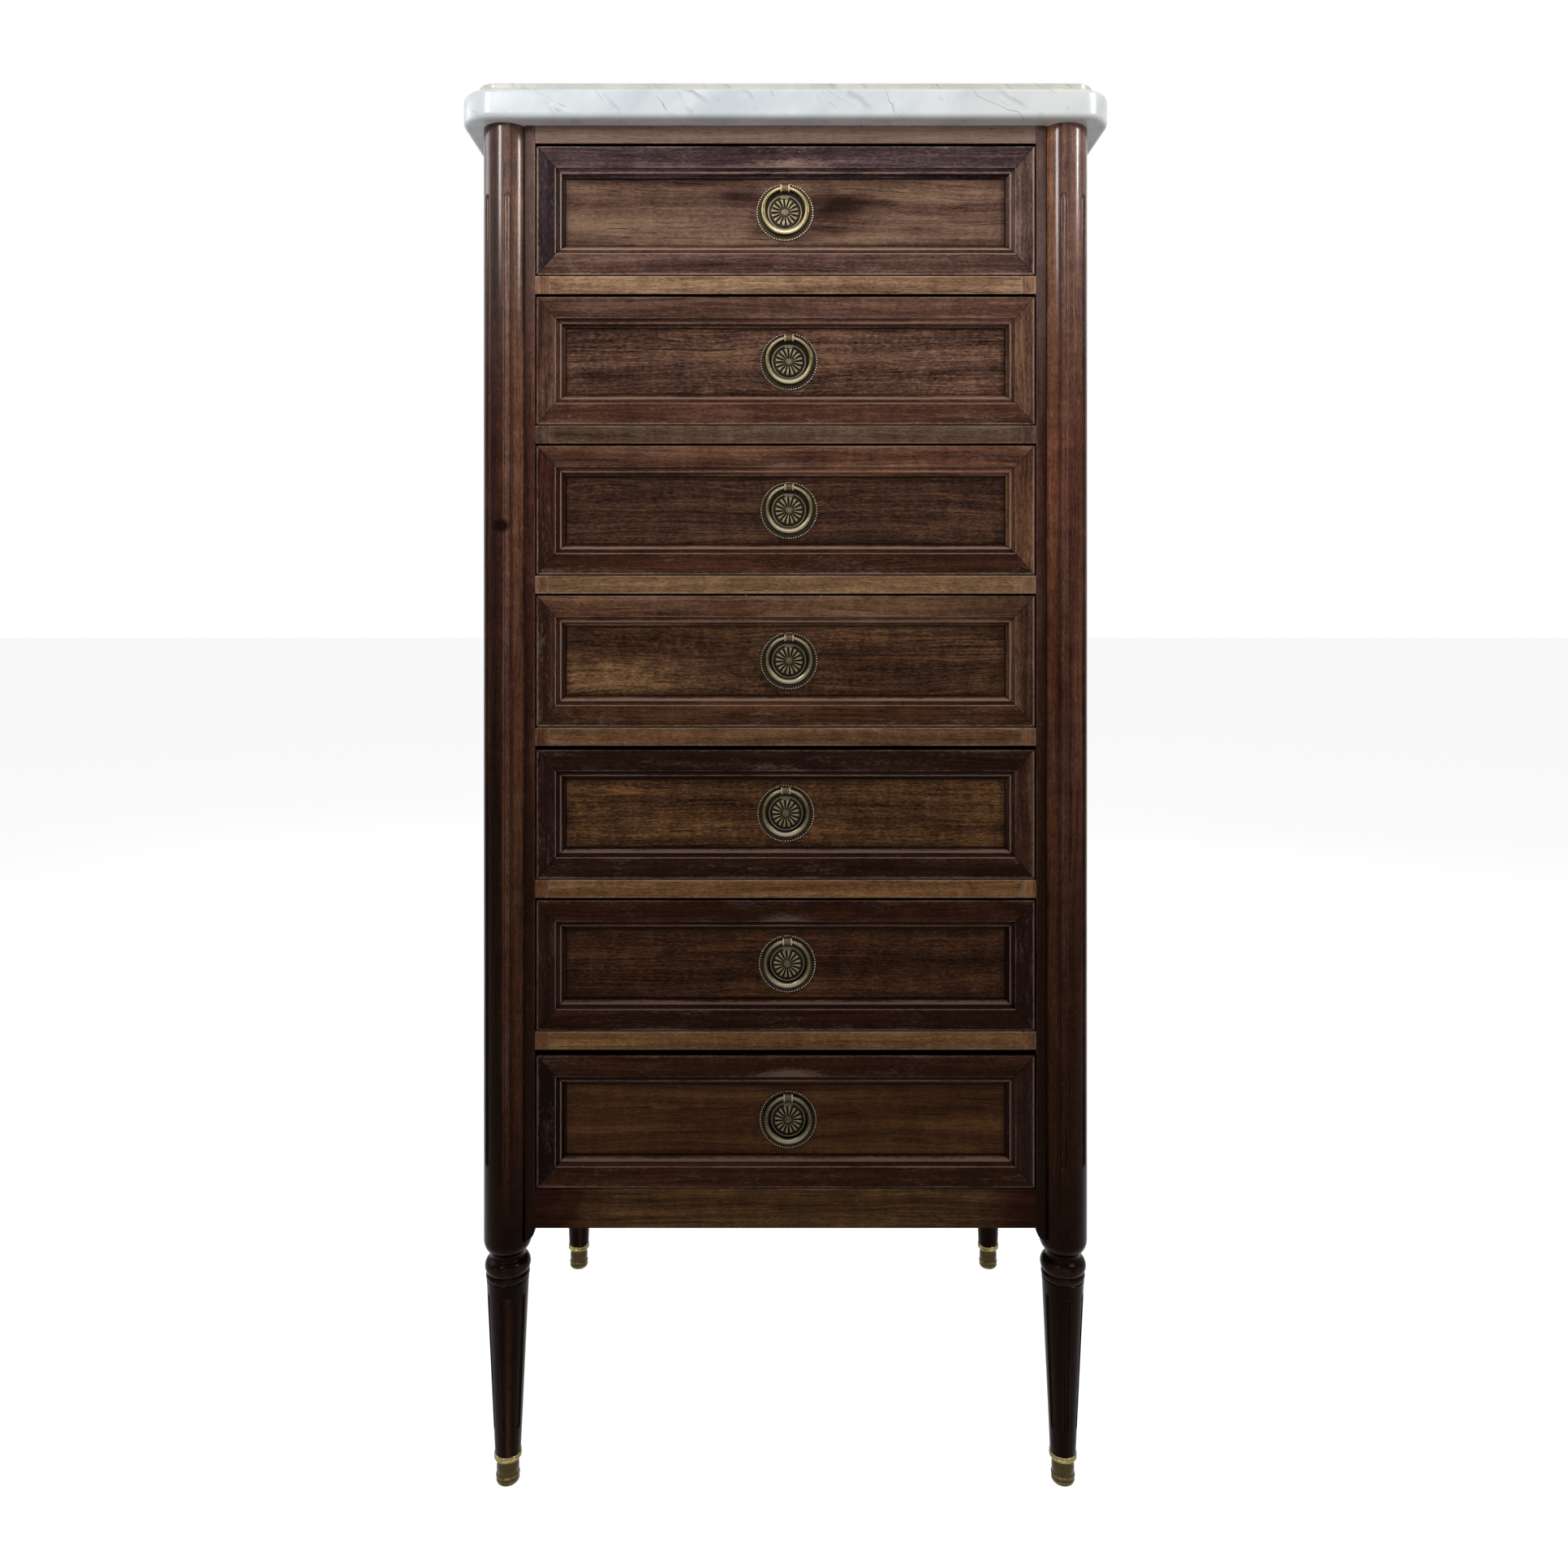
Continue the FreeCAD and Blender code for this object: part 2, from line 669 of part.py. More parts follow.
def frame_limits(k, inset_side, inset_end):
    """X and Z limits of a drawer front, drawn in from its edges."""
    half = opening_half - size("drawer_side_gap")
    return (-half + inset_side, half - inset_side, front_feet[k] + inset_end, front_heads[k] - inset_end)


def make_front(k, pull):
    """Mitred frame with its stepped moulding, and the board that fills it and backs it."""
    left, right, foot, head = frame_limits(k, 0, 0)
    side = size("frame_flat_side") + size("moulding_width")
    end = size("frame_flat_end") + size("moulding_width")
    frame_back = front_y + size("front_frame_thick")
    board_back = frame_back + size("front_board_thick")
    flat = (-frame_back, -front_y)
    stand = Rotation(Vector(1, 0, 0), 90)
    members = []
    for name, near, far in (("lower", foot, foot + end), ("upper", head, head - end)):
        outer, inner = (left, right, *flat), (left + side, right - side, *flat)
        if name == "upper":
            near, far, outer, inner = far, near, inner, outer
        members.append(frustum(f"front_{k}_{name}", near, far, outer, inner, stand))
    for name, sign in (("left", -1), ("right", 1)):
        corners = [(right * sign, foot), (right * sign, head)]
        corners += [((right - side) * sign, head - end), ((right - side) * sign, foot + end)]
        body = document.addObject("PartDesign::Body", f"front_{k}_{name}")
        sketch = outline(body, f"front_{k}_{name}_face", "XZ_Plane", [(x, z, 0) for x, z in corners])
        pad(body, f"front_{k}_{name}_pad", sketch, size("front_frame_thick"))
        members.append(place(body, (0, frame_back, 0)))
    steps = []
    for i, (near, far) in enumerate(MOULDING_SHARES, start=1):
        limits = []
        for _, share in (near, far):
            inset = size("moulding_width") * share
            limits.append(frame_limits(k, size("frame_flat_side") + inset, size("frame_flat_end") + inset))
        depths = [front_y + size("front_panel_recess") * depth for depth, _ in (near, far)]
        steps.append(frustum(f"front_{k}_step_{i}", *depths, *limits))
    frame = cut(f"front_{k}_frame", group(f"front_{k}_members", members), steps)
    board = box(f"front_{k}_board", (left, frame_back, foot), (right, board_back, head))
    panel_y = front_y + size("front_panel_recess")
    low = (left + side, panel_y, foot + end)
    field = box(f"front_{k}_field", low, (right - side, frame_back, head - end))
    solid = fused(f"front_{k}_panel", [board, field])
    hole = cylinder(
        f"front_{k}_hole",
        size("stud_radius") + size("metal_clear"),
        board_back - panel_y,
        (pull[0], board_back, pull[1] + size("pivot_lift")),
        turn_forward,
    )
    backing = cut(f"front_{k}_backing", solid, [hole, bottom_board(k, f"front_{k}_groove", True)])
    pieces[f"drawer_{k}_front"] = group(f"drawer_{k}_front", [frame, backing])


def box_limits(k):
    """Inner half width, back and lower edge of a drawer's box."""
    inner = opening_half - size("drawer_side_gap") - size("box_side_thick")
    back = back_panel_front - size("drawer_rear_gap")
    return inner, back, seats[k] + size("run_clear")


def bottom_board(k, name, as_groove=False):
    """A drawer's bottom board, or the groove that holds it."""
    inner, back, foot = box_limits(k)
    start = front_y + size("front_frame_thick") + size("front_board_thick")
    reach, lift = size("groove_depth"), size("box_bottom_lift")
    low = [-inner - reach, start - reach, foot + lift]
    high = [inner + reach, back, foot + lift + size("box_bottom_thick")]
    if as_groove:
        clear = size("joint_clear")
        low = [value - clear for value in low]
        high = [value + clear for value in high]
    return box(name, low, high)


def make_box(k):
    """A drawer's sides and back, and the bottom they hold."""
    inner, back, foot = box_limits(k)
    start = front_y + size("front_frame_thick") + size("front_board_thick")
    head = front_heads[k] - size("box_head_drop")
    outer = inner + size("box_side_thick")
    floor = foot + size("box_bottom_lift") + size("box_bottom_thick")
    solids = []
    for name, near, far in (("left", -outer, -inner), ("right", inner, outer)):
        side = box(f"box_{k}_{name}", (near, start, foot), (far, back, head))
        groove = bottom_board(k, f"box_{k}_{name}_groove", True)
        solids.append(cut(f"box_{k}_{name}_side", side, [groove]))
    rear = (-inner, back - size("box_back_thick"), floor)
    solids.append(box(f"box_{k}_back", rear, (inner, back, head)))
    pieces[f"drawer_{k}_box"] = group(f"drawer_{k}_box", solids)
    pieces[f"drawer_{k}_bottom"] = bottom_board(k, f"drawer_{k}_bottom")


def make_pull(k, pull):
    """Rosette plate, staple with its stud, the nut inside, and the ring."""
    panel_y = front_y + size("front_panel_recess")
    board_back = front_y + size("front_frame_thick") + size("front_board_thick")
    stand_off, clear = size("ring_stand_off"), size("metal_clear")
    corners = [(0, 0, 0)]
    radius = size("plate_radius")
    corners += [(radius * reach, stand_off * rise, bulge) for reach, rise, bulge in PLATE_SHARES]
    corners.append((0, stand_off * PLATE_SHARES[-1][1], 0))
    disc = turned(f"plate_{k}", corners)
    disc.Placement = Placement(Vector(), turn_forward)
    place(disc, (pull[0], panel_y, pull[1]))
    half, rise = size("staple_width") / 2, size("staple_height") / 2
    pivot = pull[1] + size("pivot_lift")
    face = panel_y - stand_off - size("staple_bore_radius") - size("staple_wall")

    def staple_block(name, margin):
        low = (pull[0] - half - margin, face, pivot - rise - margin)
        return box(name, low, (pull[0] + half + margin, panel_y, pivot + rise + margin))

    plate = cut(f"plate_{k}_slotted", disc, [staple_block(f"plate_{k}_slot", clear)])
    tail = board_back + size("nut_thick") + size("stud_tail")
    stud = cylinder(f"stud_{k}", size("stud_radius"), tail - panel_y, (pull[0], tail, pivot), turn_forward)
    along_x = Rotation(Vector(0, 1, 0), 90)
    bore_start = (pull[0] - half, panel_y - stand_off, pivot)
    bore = cylinder(f"bore_{k}", size("staple_bore_radius"), half * 2, bore_start, along_x)
    block = fused(f"staple_{k}_block", [staple_block(f"staple_{k}_stock", measured(0)), stud])
    staple = cut(f"staple_{k}", block, [bore])
    hexagon = document.addObject("Part::Prism", f"nut_{k}_stock")
    hexagon.Polygon = NUT_SIDES
    bind(hexagon, "Circumradius", size("nut_radius"))
    bind(hexagon, "Height", size("nut_thick"))
    nut_end = board_back + size("nut_thick")
    place(hexagon, (pull[0], nut_end, pivot), turn_forward)
    thread = size("stud_radius") + clear
    hole = cylinder(f"nut_{k}_hole", thread, size("nut_thick"), (pull[0], nut_end, pivot), turn_forward)
    nut = cut(f"nut_{k}", hexagon, [hole])
    pieces[f"drawer_{k}_backplate"] = group(f"drawer_{k}_backplate", [plate, staple, nut])
    ring = document.addObject("Part::Torus", f"drawer_{k}_ring")
    bind(ring, "Radius1", size("ring_radius"))
    bind(ring, "Radius2", size("ring_section_radius"))
    centre = (pull[0], panel_y - stand_off, pivot - size("ring_radius"))
    pieces[f"drawer_{k}_ring"] = place(ring, centre, turn_forward)


make_marble()
rail_entries = make_front_rails()
side_ends, panel_corners = make_side_frame()
rear_ends = make_rear_frame()
make_front_post(rail_entries, side_ends, panel_corners)
make_rear_post(rear_ends, side_ends, panel_corners)
make_sabots()
make_runners()
for twin in ("front_post", "rear_post", "front_sabot", "rear_sabot", "side_rails", "side_panel"):
    pieces[f"left_{twin}"] = mirrored(f"left_{twin}", pieces[f"right_{twin}"])
pieces["drawer_runners_left"] = mirrored("drawer_runners_left", pieces["drawer_runners_right"])
for k in DRAWERS:
    pull_x = size("plate_radius") * PULL_OFFSET_SHARES[k - 1]
    pull_place = (pull_x, (front_feet[k] + front_heads[k]) / 2)
    make_front(k, pull_place)
    make_box(k)
    make_pull(k, pull_place)

document.recompute()
for feature in document.Objects:
    if {"Invalid", "Error"} & set(feature.State):
        raise RuntimeError(f"{feature.Name} failed: {feature.State}")
os.makedirs("parts", exist_ok=True)
for label, piece in pieces.items():
    piece.Label = label
    if piece.Shape.isNull() or not piece.Shape.isValid():
        raise RuntimeError(f"{label} has no sound shape")
for label, piece in pieces.items():
    piece.Shape.exportStep(f"parts/{label}.step")
print(len(pieces), "pieces,", round(carcass_head.number + SIZES["marble_thick"], 3), "mm high")
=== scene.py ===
"""Looks of a tall seven-drawer chest: polished mahogany, a veined marble top and antique brass pulls.

Every piece is modelled in millimetres in the chest's own frame and written to its mesh in metres:
+Z up, +X to the right as the chest is faced, the drawers open towards -Y, the floor is at zero.
"""
from __future__ import annotations

import logging
import math
import random
from dataclasses import dataclass, replace
from enum import Enum
from functools import lru_cache
from typing import Callable, ClassVar, Sequence

import bmesh
import bpy
import numpy as np
from mathutils import Matrix, Vector, noise


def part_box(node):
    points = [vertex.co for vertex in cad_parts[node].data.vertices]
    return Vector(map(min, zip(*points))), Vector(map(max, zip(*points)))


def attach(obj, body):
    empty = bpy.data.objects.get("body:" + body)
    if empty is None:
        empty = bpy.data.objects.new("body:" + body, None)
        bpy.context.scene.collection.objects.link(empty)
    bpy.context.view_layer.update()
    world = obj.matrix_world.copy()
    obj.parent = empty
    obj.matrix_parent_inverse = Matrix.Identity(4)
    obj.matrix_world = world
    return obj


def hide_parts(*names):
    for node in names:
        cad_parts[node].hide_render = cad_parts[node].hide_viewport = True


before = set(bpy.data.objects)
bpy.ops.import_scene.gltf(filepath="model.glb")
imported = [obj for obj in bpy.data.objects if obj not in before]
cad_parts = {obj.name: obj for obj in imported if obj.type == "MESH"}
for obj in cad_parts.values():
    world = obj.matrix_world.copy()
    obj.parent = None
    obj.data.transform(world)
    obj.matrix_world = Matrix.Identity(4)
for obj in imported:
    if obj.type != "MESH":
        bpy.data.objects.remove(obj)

MM = 0.001
# Levels and places that pieces share, in millimetres
APRON_FOOT = 243.7
POST_HEAD = 1262.0
SABOT_HEIGHT = 28.8
FRONT_Y = -183.0  # face of the rails, the drawers and the strips beside the columns
PANEL_Y = -176.5  # face of a drawer's panel
FRONT_STOCK_BACK = -140.0
REAR_STOCK_FRONT = 155.0
RAIL_HALF = 231.3  # half the length of the rails that show between the posts
FRONT_AXIS, FRONT_RADIUS = (259.8, -168.0), 22.0  # of the front posts
REAR_AXIS, REAR_RADIUS = (254.0, 175.0), 20.0

log = logging.getLogger("chest")

Pair = tuple[float, float]
Point = tuple[float, float, float]
Stain = tuple[float, float, float]
Arrays = tuple[np.ndarray, np.ndarray]
Paint = Callable[[np.ndarray], Arrays]
Socket = bpy.types.NodeSocket


class Grain(Enum):
    """The way a board's grain runs: its axes in the order along, across, through."""

    X = (0, 2, 1)
    Y = (1, 2, 0)
    Z = (2, 0, 1)


class Side(Enum):
    """The two sides of the chest, with the sign of their X."""

    LEFT = -1
    RIGHT = 1


@dataclass(frozen=True)
class Limits:
    """Lowest and highest corner of a piece at rest, in millimetres."""

    low: Point
    high: Point

    @classmethod
    def of(cls, node: str) -> Limits:
        """The limits of one node of the frame."""
        low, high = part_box(node)
        return cls(tuple(round(v / MM, 3) for v in low), tuple(round(v / MM, 3) for v in high))

    def between(self, low: float, high: float) -> tuple[Point, Point]:
        """The corners of the part between two places in X."""
        return (low, *self.low[1:]), (high, *self.high[1:])


def linear(code: str) -> tuple[float, float, float, float]:
    """Turns an sRGB hex value to a linear colour.

    Args:
        code: such as "#6d5344".

    Returns:
        Red, green, blue and a full alpha.
    """
    shares = [int(code[i : i + 2], 16) / 255 for i in (1, 3, 5)]
    red, green, blue = [c / 12.92 if c <= 0.04045 else ((c + 0.055) / 1.055) ** 2.4 for c in shares]
    return red, green, blue, 1.0


def by_level(rows: Sequence[Sequence[float]], levels: np.ndarray) -> np.ndarray:
    """Reads a table whose rows start with a rising level, in between its rows too, at each level."""
    keys, *columns = zip(*rows)
    return np.stack([np.interp(levels, keys, column) for column in columns], axis=-1)


def ragged(points: np.ndarray, along: float, across: float, row: float = 0.0) -> np.ndarray:
    """Smooth noise for each point, with its widths along X and Z in millimetres."""
    return np.array([noise.noise(Vector((x / along, row, z / across))) for x, _, z in points])


def arc(x: float, y: float, radius: float, start: float, end: float, steps: int) -> list[Pair]:
    """Points on an arc round (x, y), from one angle to another in degrees."""
    angles = [math.radians(start + (end - start) * i / steps) for i in range(steps + 1)]
    return [(x + radius * math.cos(a), y + radius * math.sin(a)) for a in angles]


def circle(axis: Sequence[float], radius: float | np.ndarray, level: float, turn: np.ndarray,
           mirror: int = 1) -> np.ndarray:
    """A level ring of points round an axis, at azimuths in radians; a mirror of -1 swaps right and left."""
    x, y = axis[0] + mirror * radius * np.cos(turn), axis[1] + radius * np.sin(turn)
    return np.stack([x, y, np.full(len(turn), level)], axis=-1)


def bulged(corners: Sequence[Point], steps: int) -> list[Pair]:
    """Turns an outline with bulges to points.

    Args:
        corners: (x, y, bulge), where the bulge is the height of the stretch that starts there as a
            share of its chord, positive towards the right of the way along.
        steps: the points on each arc.

    Returns:
        The points of the open outline.
    """
    points = []
    for (x, y, bulge), (next_x, next_y, _) in zip(corners, corners[1:]):
        points.append((x, y))
        if not bulge:
            continue
        run, rise = next_x - x, next_y - y
        half = 2 * math.atan(2 * bulge)
        for i in range(1, steps):
            angle = -half + 2 * half * i / steps
            along = 0.5 + math.sin(angle) / (2 * math.sin(half))
            out = (math.cos(angle) - math.cos(half)) / (2 * math.sin(half))
            points.append((x + run * along + rise * out, y + rise * along - run * out))
    points.append(corners[-1][:2])
    return points


# Nodes


def add_node(tree: bpy.types.NodeTree, kind: str, inputs: dict | None = None,
             **settings: object) -> bpy.types.Node:
    """Adds a node with its settings, values and links.

    Args:
        tree: the tree that gets the node.
        kind: Blender's name of the node type.
        inputs: by socket name or number, a value or the output socket to link.
        **settings: properties of the node itself.

    Returns:
        The new node.
    """
    node = tree.nodes.new(kind)
    for name, value in settings.items():
        setattr(node, name, value)
    for key, value in (inputs or {}).items():
        if isinstance(value, Socket):
            tree.links.new(value, node.inputs[key])
        else:
            node.inputs[key].default_value = value
    return node


class Nodes:
    """A node tree, with short ways to add the nodes that the finishes share."""

    def __init__(self, tree: bpy.types.NodeTree) -> None:
        """Empties the tree."""
        self.tree = tree
        tree.nodes.clear()

    def add(self, kind: str, inputs: dict | None = None, out: int | str = 0,
            **settings: object) -> Socket | None:
        """Adds any node and gives one of its outputs, if it has any."""
        outputs = add_node(self.tree, kind, inputs, **settings).outputs
        return outputs[out] if outputs else None

    def math(self, operation: str, *terms: Socket | float) -> Socket:
        """The result of an operation on numbers."""
        return self.add("ShaderNodeMath", dict(enumerate(terms)), operation=operation)

    def vector(self, operation: str, *terms: Socket | Sequence[float], out: int | str = 0) -> Socket:
        """The result of an operation on vectors."""
        return self.add("ShaderNodeVectorMath", dict(enumerate(terms)), out, operation=operation)

    def attribute(self, name: str, out: str = "Vector") -> Socket:
        """What a mesh has stored under a name."""
        return self.add("ShaderNodeAttribute", out=out, attribute_name=name)

    def spot(self) -> Socket:
        """The place on the object, in metres."""
        return self.add("ShaderNodeTexCoord", out="Object")

    def noise(self, source: Socket, widths: Point, detail: float, rough: float = 0.5,
              out: str = "Fac") -> Socket:
        """Noise with its width along each axis in millimetres.

        Args:
            source: where it is read.
            widths: along X, Y and Z.
            detail: its octaves.
            rough: how strong the finer ones are.
            out: Fac or Color.

        Returns:
            The noise.
        """
        sized = self.vector("MULTIPLY", source, tuple(1 / (width * MM) for width in widths))
        values = {"Vector": sized, "Scale": 1.0, "Detail": detail, "Roughness": rough}
        return self.add("ShaderNodeTexNoise", values, out)

    def step(self, source: Socket, low: float, high: float, start: float = 0.0, end: float = 1.0,
             kind: str = "SMOOTHSTEP") -> Socket:
        """Maps a range to another, smoothly unless told otherwise."""
        values = dict(enumerate((source, low, high, start, end)))
        return self.add("ShaderNodeMapRange", values, interpolation_type=kind)

    def mix(self, kind: str, factor: Socket | float, first: Socket | Sequence[float],
            second: Socket | Sequence[float]) -> Socket:
        """Lays the second colour over the first."""
        inputs = {0: factor, 6: first, 7: second}
        return self.add("ShaderNodeMix", inputs, 2, data_type="RGBA", blend_type=kind)

    def sway(self, source: Socket, widths: Point, reach: Point, rough: float = 0.5) -> Socket:
        """A place pushed about by noise, up to half the reach in metres along each axis."""
        noisy = self.noise(source, widths, 2, rough, "Color")
        return self.vector("MULTIPLY_ADD", self.vector("SUBTRACT", noisy, (0.5, 0.5, 0.5)), reach, source)

    def ramp(self, level: Socket, first: tuple[float, str], last: tuple[float, str],
             middle: tuple[float, str] | None = None) -> Socket:
        """Colours by level, from (position, hex) stops.

        Args:
            level: what picks the colour.
            first: the lowest stop.
            last: the highest stop.
            middle: the stop between them, if there is one.

        Returns:
            The colour.
        """
        node = add_node(self.tree, "ShaderNodeValToRGB", {"Fac": level})
        elements = node.color_ramp.elements
        for element, (position, code) in zip(elements, (first, last)):
            element.position, element.color = position, linear(code)
        if middle:
            elements.new(middle[0]).color = linear(middle[1])
        return node.outputs["Color"]

    def finish(self, values: dict) -> None:
        """Ends a material with its surface."""
        self.add("ShaderNodeOutputMaterial", {"Surface": self.add("ShaderNodeBsdfPrincipled", values)})


# Finishes


class Finish:
    """A material that is made when a piece first asks for it."""

    name: str

    @lru_cache(maxsize=None)
    def material(self) -> bpy.types.Material:
        """Makes the node material, once for each finish.

        Returns:
            The material.
        """
        material = bpy.data.materials.new(self.name)
        material.use_nodes = True
        self.draw(Nodes(material.node_tree))
        return material

    def draw(self, nodes: Nodes) -> None:
        """Adds the finish's nodes to its empty tree."""
        raise NotImplementedError


@dataclass(frozen=True)
class Mahogany(Finish):
    """French-polished mahogany: long dark and light grain, mottle across it, open pores, worn edges.

    It reads a board's own place from the mesh, or the object's place where it has a grain of its own.
    """

    name: str
    dark: str
    middle: str
    light: str
    rubbed: str = "#8f7567"
    grain_width: float = 2.4
    streak: float = 0.7
    band: float = 0.8
    mottle: float = 0.25
    fleck: float = 0.3
    scuff: float = 0.0
    hairlines: float = 0.6
    roughness: float = 0.3
    specular: float = 0.06
    waxed: Point | None = None  # levels where the wax starts and is full, and its weight
    grain: Grain | None = None
    knot: Point | None = None

    def draw(self, nodes: Nodes) -> None:
        """Adds the wood's nodes."""
        if self.grain is None:
            place = nodes.attribute("board")
        else:
            turn = (math.radians(-90), 0, 0) if self.grain is Grain.X else (0, 0, math.radians(-90))
            place = nodes.add("ShaderNodeMapping", {"Vector": nodes.spot(), "Rotation": turn})

        def grained(source: Socket, along: float, across: float, detail: float,
                    rough: float = 0.5) -> Socket:
            """Noise drawn out along the grain, with its two widths in millimetres."""
            return nodes.noise(source, (along, across, across), detail, rough)

        # Grain lines wander a few millimetres from side to side over a hand's length
        warped = nodes.sway(place, (150, 45, 45), (0.0, 0.016, 0.016))
        streaks = grained(warped, 170.0, self.grain_width, 5, 0.62)
        pores = grained(warped, 9.0, 0.9, 1)
        figure = (
            (streaks, self.streak),
            (grained(warped, 300, 15.0, 2), self.band),
            (grained(warped, 14, 30, 3, 0.6), self.mottle),
            (grained(warped, 4.2, 1.5, 2, 0.6), self.fleck),
        )
        level = 0.5 - 0.5 * sum(strength for _, strength in figure)
        for source, strength in figure:
            level = nodes.math("MULTIPLY_ADD", source, strength, level)
        colour = nodes.ramp(level, (0.22, self.dark), (0.78, self.light), (0.5, self.middle))
        # Open pores filled with old polish: short dark dashes, drawn twice their width so that they show
        colour = nodes.mix("MULTIPLY", nodes.step(pores, 0.60, 0.72, 0.0, 0.45), colour, linear("#5a4a42"))
        # A few long hairlines where the figure has opened along the grain
        checks = nodes.step(grained(warped, 330, 1.7, 2), 0.62, 0.70, 0.0, self.hairlines)
        colour = nodes.mix("MULTIPLY", checks, colour, linear("#4a3c36"))
        if self.grain is None:
            colour = self.worn(nodes, place, colour)
        if self.knot is not None:
            # One dark round knot with a paler ring, as wide as a thumb
            off = nodes.vector("SUBTRACT", nodes.spot(), tuple(v * MM for v in self.knot))
            far = nodes.vector("LENGTH", nodes.vector("MULTIPLY", off, (1.0, 0.4, 1.35)), out="Value")
            edge = nodes.math("MULTIPLY_ADD", grained(place, 6, 6, 3), 0.006, far)
            dark = nodes.step(edge, 0.0075, 0.0145, 0.95, 0.0)
            colour = nodes.mix("MIX", dark, colour, linear("#120a08"))
        satin = grained(place, 60, 22, 3, 0.6)
        height = nodes.math("MULTIPLY_ADD", pores, -1.0, streaks)
        values = {
            "Base Color": colour,
            "Roughness": nodes.step(satin, 0.3, 0.7, self.roughness - 0.05, self.roughness + 0.07),
            "Specular IOR Level": self.specular,
            "Specular Tint": linear("#e6bfa4"),
            "Normal": nodes.add("ShaderNodeBump", {"Strength": 0.22, "Distance": 0.0004, "Height": height}),
        }
        if self.waxed is not None:
            # Wax is left near the head, out of reach, and draws the lamps out to soft pale lines
            low, high, weight = self.waxed
            level = nodes.add("ShaderNodeSeparateXYZ", {0: nodes.spot()}, "Z")
            values["Coat Weight"] = nodes.step(level, low * MM, high * MM, 0.0, weight)
            values["Coat Roughness"] = 0.2
        nodes.finish(values)

    def worn(self, nodes: Nodes, place: Socket, colour: Socket) -> Socket:
        """Stains the wood, rubs its edges pale in patches and darkens it with grime and painted shade where
        its wear is below zero.

        Args:
            nodes: the material's tree.
            place: the place on the board.
            colour: the bare wood.

        Returns:
            The worn colour.
        """
        wear = nodes.attribute("wear", "Fac")
        colour = nodes.mix("MULTIPLY", 1.0, colour, nodes.attribute("stain"))
        rubbed = nodes.mix("MULTIPLY", 1.0, linear(self.rubbed), nodes.attribute("rub", "Fac"))
        patch = nodes.noise(place, (60, 11, 11), 4, 0.68)
        speck = nodes.noise(place, (5, 1.6, 1.6), 3, 0.7)
        gritty = nodes.math("MULTIPLY_ADD", speck, 1.1, self.scuff - 1.2)
        patchy = nodes.math("ADD", wear, nodes.math("MULTIPLY_ADD", patch, 1.3, gritty))
        colour = nodes.mix("MIX", nodes.step(patchy, 0.2, 0.95, 0.0, 0.8), colour, rubbed)
        # Below-zero wear darkens the wood: grime in hollows, and painted shade under rails, along panel
        # edges and in creases
        grime_and_shade = nodes.step(nodes.math("MULTIPLY", wear, -1.0), 0.0, 1.0, 0.0, 0.85)
        return nodes.mix("MULTIPLY", grime_and_shade, colour, linear("#2c2420"))


@dataclass(frozen=True)
class CarraraMarble(Finish):
    """Polished white marble: cool white with cloudy grey and thin broken veins that run aslant."""

    name: str = "carrara_marble"
    white: str = "#e3e8ea"
    cloud: str = "#cfd5d9"
    vein: str = "#7c8489"
    ivory: str = "#ece5d9"
    # The slope of the veins' planes, how far they are apart, half their width, strength, broken length
    veins: tuple[tuple[Point, float, float, float, float], ...] = (
        ((0.55, 0.35, 1.0), 61.0, 0.45, 0.95, 21.0),
        ((0.80, -0.20, 0.75), 37.0, 0.35, 0.8, 13.0),
        ((0.75, -0.30, 1.0), 83.0, 4.0, 0.3, 26.0),
        ((0.9, 0.55, 0.6), 47.0, 2.2, 0.22, 17.0),
    )

    def draw(self, nodes: Nodes) -> None:
        """Adds the marble's nodes, on the object's own place."""
        spot = nodes.spot()
        turned = {"Vector": spot, "Rotation": (0.5, math.radians(38), 0.35)}
        clouds = nodes.noise(nodes.add("ShaderNodeMapping", turned), (70, 24, 40), 4, 0.55)
        colour = nodes.ramp(clouds, (0.32, self.cloud), (0.60, self.white))
        # The veins wander by a few millimetres on their way, and fade in and out
        bent = nodes.sway(spot, (40, 40, 40), (0.024, 0.024, 0.024), 0.55)
        for slope, apart, half, strength, length in self.veins:
            normal = tuple(v / math.hypot(*slope) / (apart * MM) for v in slope)
            level = nodes.vector("DOT_PRODUCT", bent, normal, out="Value")
            line = nodes.step(nodes.math("PINGPONG", level, 0.5), 0.0, half / apart, strength, 0.0)
            broken = nodes.step(nodes.noise(spot, (length,) * 3, 2, 0.55), 0.46, 0.62)
            colour = nodes.mix("MIX", nodes.math("MULTIPLY", line, broken), colour, linear(self.vein))
        # Painted warm light: ivory on the band over the step, and over the whole slab more towards the
        # right
        axes = add_node(nodes.tree, "ShaderNodeSeparateXYZ", {0: spot}).outputs
        for axis, low, high, strength in (("Z", 1.287, 1.291, 0.9), ("X", 0.0, 0.3, 0.45)):
            share = nodes.step(axes[axis], low, high, 0.0, strength)
            colour = nodes.mix("MULTIPLY", share, colour, linear(self.ivory))
        nodes.finish({"Base Color": colour, "Roughness": 0.27, "Specular IOR Level": 0.35})


